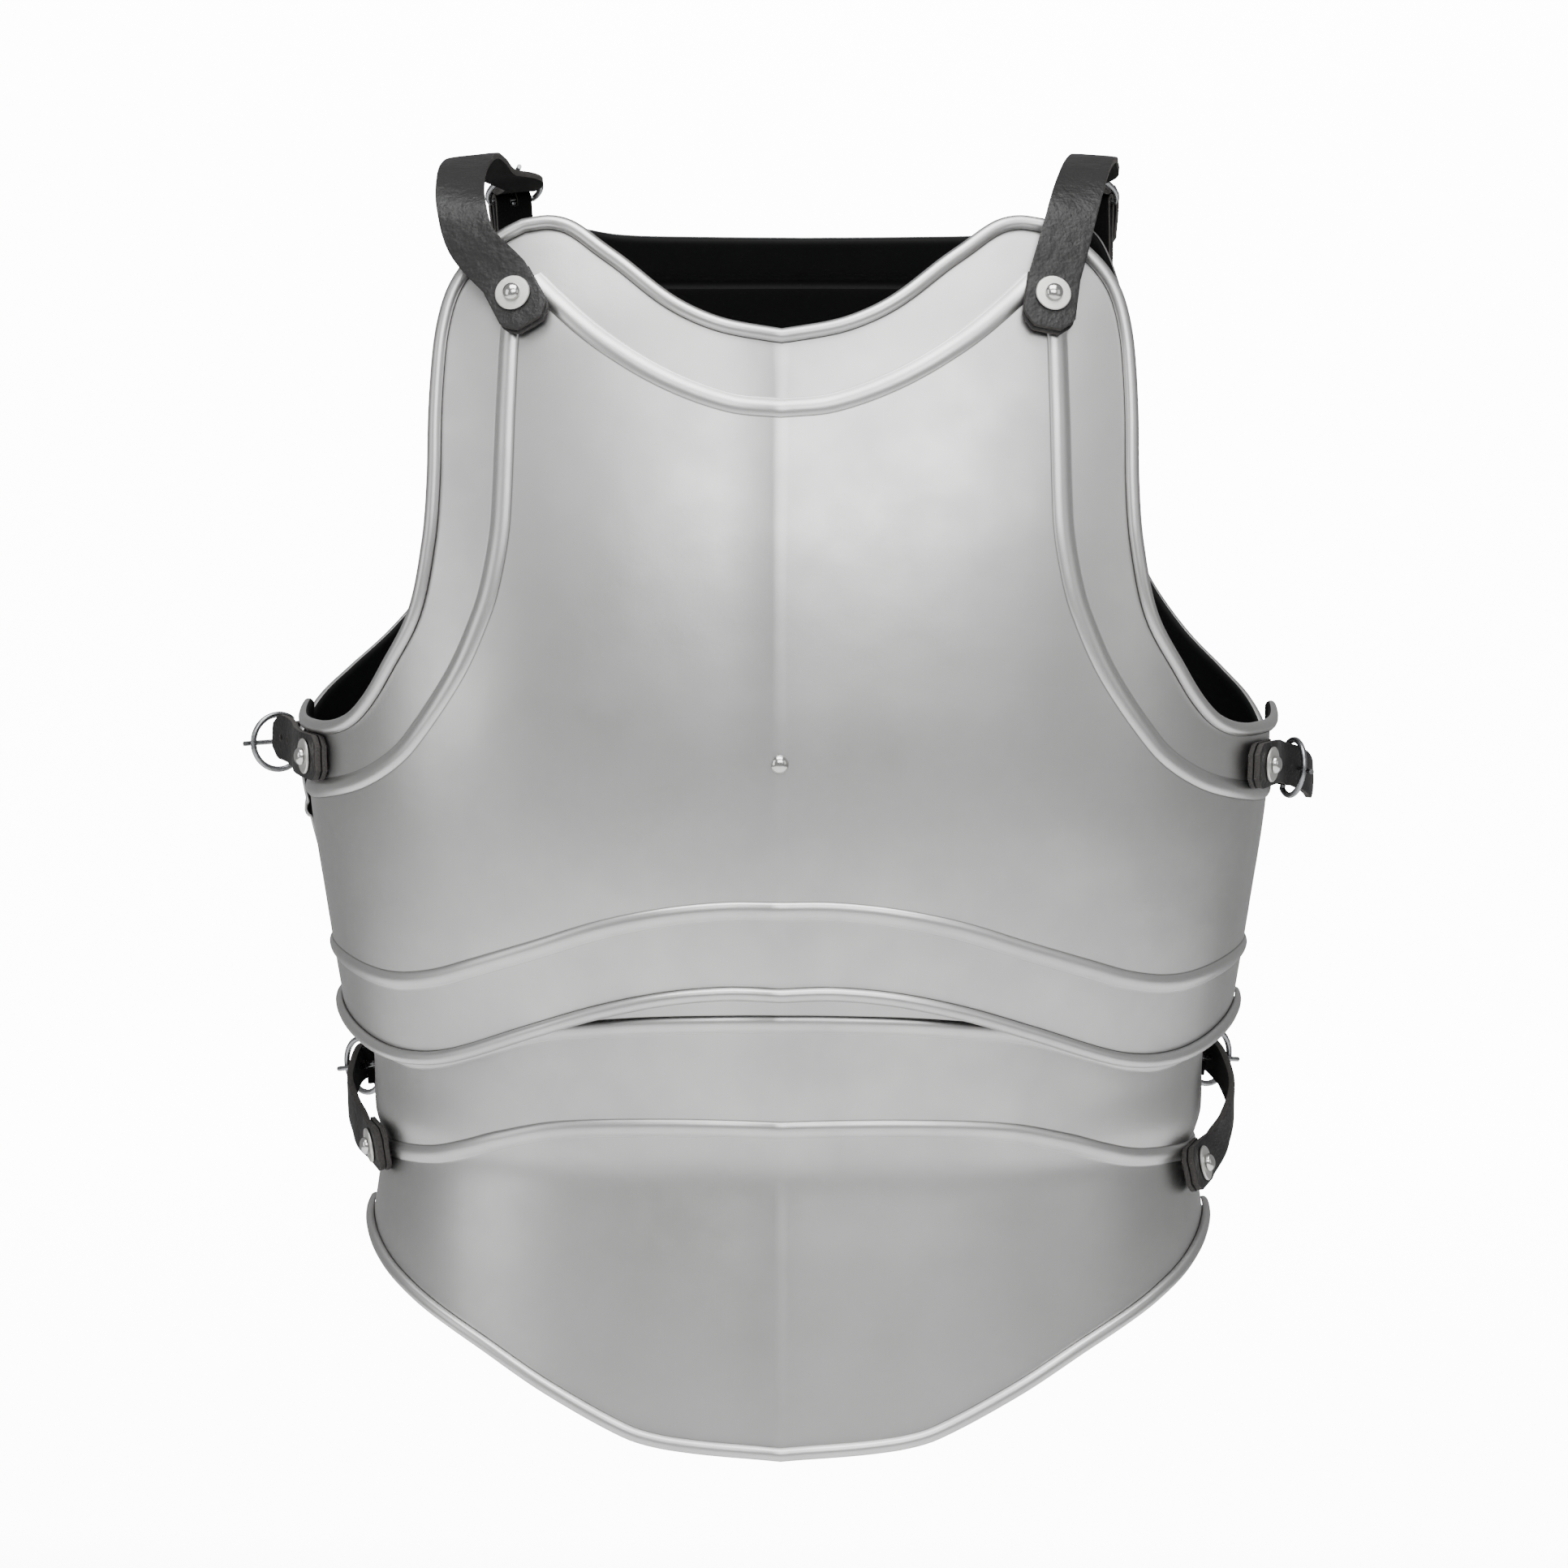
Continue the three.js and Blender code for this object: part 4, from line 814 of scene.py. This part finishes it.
def prong_points(back, bar, tilt, side):
    far_ahead = math.cos(tilt)
    far_out = math.sin(tilt)

    def spot(along, high):
        return in_plane(back, bar["ahead"] + along * far_ahead - high * far_out * side,
            bar["out"] + along * far_out + high * far_ahead * side)

    loop = BUCKLE_WIRE + GAP + PRONG_WIRE
    points = []
    for degrees in PRONG_EYE:
        turn = math.radians(-degrees)
        points.append(spot(loop * math.cos(turn), loop * math.sin(turn)))
    far = BAR_OFFSET + BUCKLE_RADIUS
    seat = loop + PRONG_CLEAR
    points += [spot(0.4, seat), spot(far * 0.35, seat + PRONG_CLEAR), spot(far * 0.7, seat), spot(far, seat)]
    points += [spot(far + PRONG_PAST, seat - 0.3), spot(far + PRONG_TIP, loop - 0.5)]
    return points


# Turned pieces: a profile of radius and height, spun about the frame's outward direction
def turned_piece(name, place, profile, material, node, steps=36):
    bm = bmesh.new()
    verts = [bm.verts.new((radius * MM, 0, height * MM)) for radius, height in profile]
    edges = [bm.edges.new(pair) for pair in zip(verts, verts[1:])]
    bmesh.ops.spin(bm, geom=verts + edges, cent=(0, 0, 0), axis=(0, 0, 1), angle=2 * math.pi, steps=steps,
        use_merge=True)
    bmesh.ops.remove_doubles(bm, verts=bm.verts, dist=MERGED * MM)
    seat = Matrix((place["across"], place["out"].cross(place["across"]), place["out"])).transposed().to_4x4()
    seat.translation = place["origin"] * MM
    bmesh.ops.transform(bm, matrix=seat, verts=bm.verts)
    bmesh.ops.recalc_face_normals(bm, faces=bm.faces)
    return piece_from(bm, name, [material], node, sharp=40)


# A rivet's outline: its hammered tail, its shank and its domed head, with edges rounded by tenths of a mm
def rivet_profile(head, tail):
    end = tail - TAIL_THICKNESS
    low = [(0, end), (TAIL_RADIUS * 0.8, end), (TAIL_RADIUS, tail - 0.7 * TAIL_THICKNESS),
        (TAIL_RADIUS, tail), (SHANK_RADIUS, tail), (SHANK_RADIUS, head), (DOME_RADIUS - 0.2, head),
        (DOME_RADIUS, head + 0.15)]
    dome = []
    for k in range(DOME_STEPS + 1):
        turn = math.pi / 2 * k / DOME_STEPS
        dome.append((DOME_RADIUS * math.cos(turn), head + 0.5 + (DOME_HEIGHT - 0.5) * math.sin(turn)))
    dome[-1] = (0, head + DOME_HEIGHT)
    return low + dome


# A washer's outline, its outer edges rounded by tenths of a mm
def washer_profile(seat):
    bore = SHANK_RADIUS + BORE_CLEARANCE
    top = seat + WASHER_THICKNESS
    return [(bore, seat), (WASHER_RADIUS - 0.3, seat), (WASHER_RADIUS, seat + 0.3),
        (WASHER_RADIUS, top - 0.4), (WASHER_RADIUS - 0.35, top - 0.05), (WASHER_RADIUS - 1, top),
        (bore, top), (bore, seat)]


# Materials

def linear(hex_code):
    value = hex_code.lstrip("#")
    parts = [int(value[k:k + 2], 16) / 255 for k in (0, 2, 4)]
    parts = [part / 12.92 if part <= 0.04045 else ((part + 0.055) / 1.055) ** 2.4 for part in parts]
    return (*parts, 1)


def per_mm(size):
    return 1000 / size


# Adds a node with its settings, values and links, and gives back the named output
def add(material, kind, gives, values=(), **settings):
    node = material.node_tree.nodes.new(kind)
    for key, value in settings.items():
        setattr(node, key, value)
    for socket, value in dict(values).items():
        if isinstance(value, bpy.types.NodeSocket):
            material.node_tree.links.new(value, node.inputs[socket])
        else:
            node.inputs[socket].default_value = value
    return node.outputs[gives] if gives is not None else None


# The sockets of a Mix node set to colours, which share their names with others
FACTOR = 0
FIRST = 6
SECOND = 7
MIXED = 2


def new_material(name):
    material = bpy.data.materials.new(name)
    material.use_nodes = True
    material.node_tree.nodes.clear()
    place = add(material, "ShaderNodeTexCoord", "Object")
    return material, place


def finish_material(material, values):
    shader = add(material, "ShaderNodeBsdfPrincipled", "BSDF", values)
    add(material, "ShaderNodeOutputMaterial", None, {"Surface": shader})
    return material


# Mild steel plate, tumbled to an even satin: broad soft reflections, faint hammer waves, and creases darkened
# by painted shade
def plate_steel():
    material, place = new_material("mild_steel_tumbled")
    patches = add(material, "ShaderNodeTexNoise", "Fac",
        {"Vector": place, "Scale": per_mm(60), "Detail": 4, "Roughness": 0.6})
    grain = add(material, "ShaderNodeTexNoise", "Fac",
        {"Vector": place, "Scale": per_mm(2.2), "Detail": 3, "Roughness": 0.7})
    waves = add(material, "ShaderNodeTexNoise", "Fac",
        {"Vector": place, "Scale": per_mm(34), "Detail": 1.5, "Roughness": 0.45})
    crease = add(material, "ShaderNodeAttribute", "Fac", attribute_name="crease")
    patchy = add(material, "ShaderNodeMapRange", "Result",
        {"Value": patches, "From Min": 0.35, "From Max": 0.65, "To Min": 0, "To Max": 1})
    # Painted shade: the steel's colour is darkened towards #6c6b69 along the creases, where shade falls
    painted_crease_shade = add(material, "ShaderNodeMapRange", "Result",
        {"Value": crease, "From Min": 0.25, "From Max": 1, "To Min": 0, "To Max": 0.75})
    rough = add(material, "ShaderNodeMapRange", "Result",
        {"Value": patches, "From Min": 0.3, "From Max": 0.7, "To Min": 0.34, "To Max": 0.44})
    unshaded_tone = add(material, "ShaderNodeMix", MIXED,
        {FACTOR: patchy, FIRST: linear("#c9c9c8"), SECOND: linear("#bdbdbd")}, data_type="RGBA")
    tone = add(material, "ShaderNodeMix", MIXED,
        {FACTOR: painted_crease_shade, FIRST: unshaded_tone, SECOND: linear("#6c6b69")}, data_type="RGBA")
    fine = add(material, "ShaderNodeBump", "Normal", {"Height": grain, "Strength": 0.25, "Distance": 0.0001})
    bump = add(material, "ShaderNodeBump", "Normal",
        {"Height": waves, "Strength": 0.35, "Distance": 0.0012, "Normal": fine})
    return finish_material(material,
        {"Base Color": tone, "Metallic": 1.0, "Roughness": rough, "Normal": bump})


# Vegetable-tanned strap leather, dyed black: fine pebbled grain with a dull shine
def strap_leather():
    material, place = new_material("strap_leather_black")
    pebbles = add(material, "ShaderNodeTexVoronoi", "Distance", {"Vector": place, "Scale": per_mm(1.3)},
        feature="SMOOTH_F1")
    creases = add(material, "ShaderNodeTexNoise", "Fac",
        {"Vector": place, "Scale": per_mm(5), "Detail": 4, "Roughness": 0.6})
    wear = add(material, "ShaderNodeTexNoise", "Fac",
        {"Vector": place, "Scale": per_mm(18), "Detail": 5, "Roughness": 0.6})
    worn = add(material, "ShaderNodeMapRange", "Result",
        {"Value": wear, "From Min": 0.35, "From Max": 0.7, "To Min": 0, "To Max": 1})
    rough = add(material, "ShaderNodeMapRange", "Result",
        {"Value": wear, "From Min": 0.3, "From Max": 0.7, "To Min": 0.6, "To Max": 0.42})
    tone = add(material, "ShaderNodeMix", MIXED,
        {FACTOR: worn, FIRST: linear("#0d0c0c"), SECOND: linear("#191818")}, data_type="RGBA")
    fine = add(material, "ShaderNodeBump", "Normal", {"Height": pebbles, "Strength": 0.5, "Distance": 0.0003})
    bump = add(material, "ShaderNodeBump", "Normal",
        {"Height": creases, "Strength": 0.7, "Distance": 0.0012, "Normal": fine})
    return finish_material(material,
        {"Base Color": tone, "Roughness": rough, "Normal": bump, "Specular IOR Level": 0.45})


# A dull finish of one uneven texture: its grain in mm, its two tones, and its relief in strength and m
def dull_finish(name, grain, detail, break_up, tones, relief, shader):
    material, place = new_material(name)
    texture = add(material, "ShaderNodeTexNoise", "Fac",
        {"Vector": place, "Scale": per_mm(grain), "Detail": detail, "Roughness": break_up})
    tone = add(material, "ShaderNodeMix", MIXED,
        {FACTOR: texture, FIRST: linear(tones[0]), SECOND: linear(tones[1])}, data_type="RGBA")
    bump = add(material, "ShaderNodeBump", "Normal",
        {"Height": texture, "Strength": relief[0], "Distance": relief[1]})
    return finish_material(material, {"Base Color": tone, "Normal": bump, **shader})


# Turned and drawn metal parts: the same build, with a fine unevenness of their own finish
def metal(name, tones, roughness, grain):
    material, place = new_material(name)
    cloud = add(material, "ShaderNodeTexNoise", "Fac",
        {"Vector": place, "Scale": per_mm(grain), "Detail": 4, "Roughness": 0.7})
    rough = add(material, "ShaderNodeMapRange", "Result",
        {"Value": cloud, "From Min": 0.3, "From Max": 0.7,
            "To Min": roughness * 0.85, "To Max": roughness * 1.2})
    tone = add(material, "ShaderNodeMix", MIXED,
        {FACTOR: cloud, FIRST: linear(tones[0]), SECOND: linear(tones[1])}, data_type="RGBA")
    bump = add(material, "ShaderNodeBump", "Normal", {"Height": cloud, "Strength": 0.2, "Distance": 0.0001})
    return finish_material(material,
        {"Base Color": tone, "Metallic": 1.0, "Roughness": rough, "Normal": bump})


steel = plate_steel()
leather = strap_leather()
# Black paint brushed inside the plates: dull and slightly uneven
black_paint = dull_finish("black_paint_brushed", 12, 5, 0.65, ("#050505", "#0b0b0b"), (0.3, 0.0003),
    {"Roughness": 0.6, "Specular IOR Level": 0.12})
# The leather's flesh side, dyed black: short matt nap
flesh_side = dull_finish("strap_leather_flesh_side", 0.8, 4, 0.8, ("#070707", "#141313"), (0.5, 0.0003),
    {"Roughness": 0.95, "Specular IOR Level": 0.15})
# The leather's cut edge: undyed fibres, paler and rough
cut_edge = dull_finish("strap_leather_cut_edge", 0.9, 3, 0.8, ("#1c1b1b", "#4a4744"), (0.8, 0.0005),
    {"Roughness": 0.9})
# Zinc-plated washer: bright and matt
zinc = metal("zinc_plate_matt", ("#cfcfcb", "#e6e6e2"), 0.42, 1.5)
# Domed steel rivet, polished on its head
rivet_metal = metal("rivet_steel_polished", ("#c4c4c2", "#dcdcda"), 0.17, 1.2)
# Drawn steel wire, left grey
wire = metal("steel_wire_drawn", ("#7f8183", "#a3a4a6"), 0.28, 1.0)

# Pieces
shouldered_plate(CHEST, "chest_plate", "breastplate")
shouldered_plate(BACK, "back_plate", "backplate")
skirted_plate(BELLY, "belly_plate", "plackart")

for fastening in FASTENINGS:
    name = fastening["name"]
    bar = fastening["bar"]
    tilt = math.radians(fastening["tilt"])
    front = turned_frame(fastening["plate"], fastening["rivet"], fastening["way"], fastening["lift"])
    back = turned_frame(BACK, fastening["anchor"], fastening["back_way"], fastening["back_lift"])
    top = STRAP_SEAT + LEATHER / 2 + GAP
    path = strap_path(fastening, front, back)
    free_end = path["run"][-1]
    holes = ()
    if name == "side_left":
        holes = [(free_end - before, HOLE_RADIUS) for before in HOLES_FROM_END]
    leather_piece(f"{name}_strap", path, fastening["width"], LEATHER, ACROSS, STRAP_STEP,
        f"strap_{name}", holes)
    leather_piece(f"{name}_backing", backing_path(front), fastening["width"], BACKING, ACROSS, STRAP_STEP,
        f"backing_{name}")
    fold = chape_path(back, bar)
    middle = fold["run"][-1] / 2
    leather_piece(f"{name}_chape", fold, CHAPE_WIDTH, CHAPE, CHAPE_ACROSS, CHAPE_STEP,
        f"chape_{name}", crown=0.15,
        slot_gap=(middle - SLOT_HALF_LENGTH, middle + SLOT_HALF_LENGTH, SLOT_HALF_WIDTH))
    turned_piece(f"{name}_washer", front, washer_profile(top), zinc, f"washer_{name}")
    tail = -STEEL - TAIL_CLEARANCE
    front_rivet = rivet_profile(top + WASHER_THICKNESS + GAP, tail - fastening["lift"])
    turned_piece(f"{name}_rivet", front, front_rivet, rivet_metal, f"rivet_{name}")
    back_rivet = rivet_profile(CHAPE_TOP + CHAPE / 2 + GAP, tail - fastening["back_lift"])
    turned_piece(f"{name}_back_rivet", back, back_rivet, rivet_metal, f"back_rivet_{name}")
    wire_piece(f"{name}_buckle", buckle_points(back, bar, tilt), BUCKLE_WIRE, True,
        f"buckle_{name}")
    wire_piece(f"{name}_prong", prong_points(back, bar, tilt, fastening["prong_side"]), PRONG_WIRE, False,
        f"prong_{name}")

centre = turned_frame(CHEST, CENTRE_RIVET, 0, RIDGE_HEIGHT)
ridge_profile = rivet_profile(RIDGE_SEAT, -UNDER_RIDGE - STEEL - TAIL_CLEARANCE)
turned_piece("ridge_rivet", centre, ridge_profile, rivet_metal, "centre_rivet")

# Stage, camera and light

# Seamless paper, in metres: where the steel stops mirroring it, where it burns out, where it turns up
FLOOR_LEVEL = -0.95
PAPER_HALF_WIDTH = 1.7
PAPER_FRONT = -3.0
MIRRORED_TO = 0.6
BURNT_OUT_AT = 1.5
FLOOR_GLOW = 0.2
BACKDROP_GLOW = 11
TURN_AT = 3.3
TURN_RADIUS = 1.2
PAPER_TOP = 7.0
PAPER_ROWS = 40


def paper(name, first, last, material, mirrored):
    bm, spots = grid_mesh(2, PAPER_ROWS)
    turn_length = TURN_RADIUS * math.pi / 2
    for (i, j), vert in spots.items():
        run = first + (last - first) * j / PAPER_ROWS
        turn = max(0.0, min(turn_length, run - TURN_AT)) / TURN_RADIUS
        y = min(run, TURN_AT) + TURN_RADIUS * math.sin(turn)
        rise = max(0.0, run - TURN_AT - turn_length)
        z = FLOOR_LEVEL + TURN_RADIUS * (1 - math.cos(turn)) + rise
        vert.co = ((i - 1) * PAPER_HALF_WIDTH, y, z)
    bmesh.ops.recalc_face_normals(bm, faces=bm.faces)
    mesh = bpy.data.meshes.new(name)
    bm.to_mesh(mesh)
    bm.free()
    mesh.shade_smooth()
    mesh.materials.append(material)
    sheet = bpy.data.objects.new(name, mesh)
    sheet.visible_glossy = mirrored
    bpy.context.scene.collection.objects.link(sheet)


# Seamless paper: flat white, burnt out behind the armour, where the steel doesn't mirror it
paper_white, paper_place = new_material("seamless_paper_white")
paper_depth = add(paper_white, "ShaderNodeSeparateXYZ", "Y", {"Vector": paper_place})
glow = add(paper_white, "ShaderNodeMapRange", "Result",
    {"Value": paper_depth, "From Min": MIRRORED_TO, "From Max": BURNT_OUT_AT,
        "To Min": FLOOR_GLOW, "To Max": BACKDROP_GLOW})
finish_material(paper_white, {"Base Color": linear("#f4f4f4"), "Roughness": 0.9,
    "Emission Color": linear("#ffffff"), "Emission Strength": glow})
paper("floor_paper", PAPER_FRONT, MIRRORED_TO, paper_white, True)
paper("backdrop_paper", MIRRORED_TO, PAPER_TOP, paper_white, False)

# The camera: a long lens, its focal length and shift in pixels of the frame
ELEVATION = math.radians(6)
AZIMUTH = math.radians(1.5)
FRAME_PIXELS = 1932
FOCAL_PIXELS = 7428
SHIFT_PIXELS = -5
SENSOR_WIDTH = 36
DISTANCE = 2.6
FAR_CLIP = 30
target = Vector((0, 0, -0.27))
level = math.cos(ELEVATION)
away = Vector((math.sin(AZIMUTH) * level, -math.cos(AZIMUTH) * level, math.sin(ELEVATION)))
camera_data = bpy.data.cameras.new("camera")
camera_data.sensor_width = SENSOR_WIDTH
camera_data.lens = FOCAL_PIXELS / FRAME_PIXELS * SENSOR_WIDTH
camera_data.shift_x = SHIFT_PIXELS / FRAME_PIXELS
camera_data.clip_end = FAR_CLIP
camera = bpy.data.objects.new("camera", camera_data)
camera.location = target + away * DISTANCE
camera.rotation_euler = away.to_track_quat("Z", "Y").to_euler()
bpy.context.scene.collection.objects.link(camera)
bpy.context.scene.camera = camera


def softbox(name, place, aim, size, power):
    data = bpy.data.lights.new(name, "AREA")
    data.shape = "RECTANGLE"
    data.size, data.size_y = size
    data.energy = power
    lamp = bpy.data.objects.new(name, data)
    lamp.location = place
    lamp.rotation_euler = (Vector(place) - Vector(aim)).to_track_quat("Z", "Y").to_euler()
    bpy.context.scene.collection.objects.link(lamp)


# Each softbox: place and aim in m, width and height in m, watts
softbox("top", (0, -0.8, 2.0), (0, 0, -0.2), (2.0, 1.4), 75)
softbox("front", (0.35, -2.9, 1.45), (0, 0, -0.25), (2.4, 1.3), 58)
softbox("left", (-2.2, -1.4, 0.4), (0, 0, -0.3), (1.2, 2.0), 14)
softbox("right", (2.2, -1.4, 0.6), (0, 0, -0.3), (1.2, 1.6), 5)

world = bpy.data.worlds.new("studio")
bpy.context.scene.world = world
world.use_nodes = True
world.node_tree.nodes["Background"].inputs["Color"].default_value = linear("#f2f2f2")
world.node_tree.nodes["Background"].inputs["Strength"].default_value = 0.38
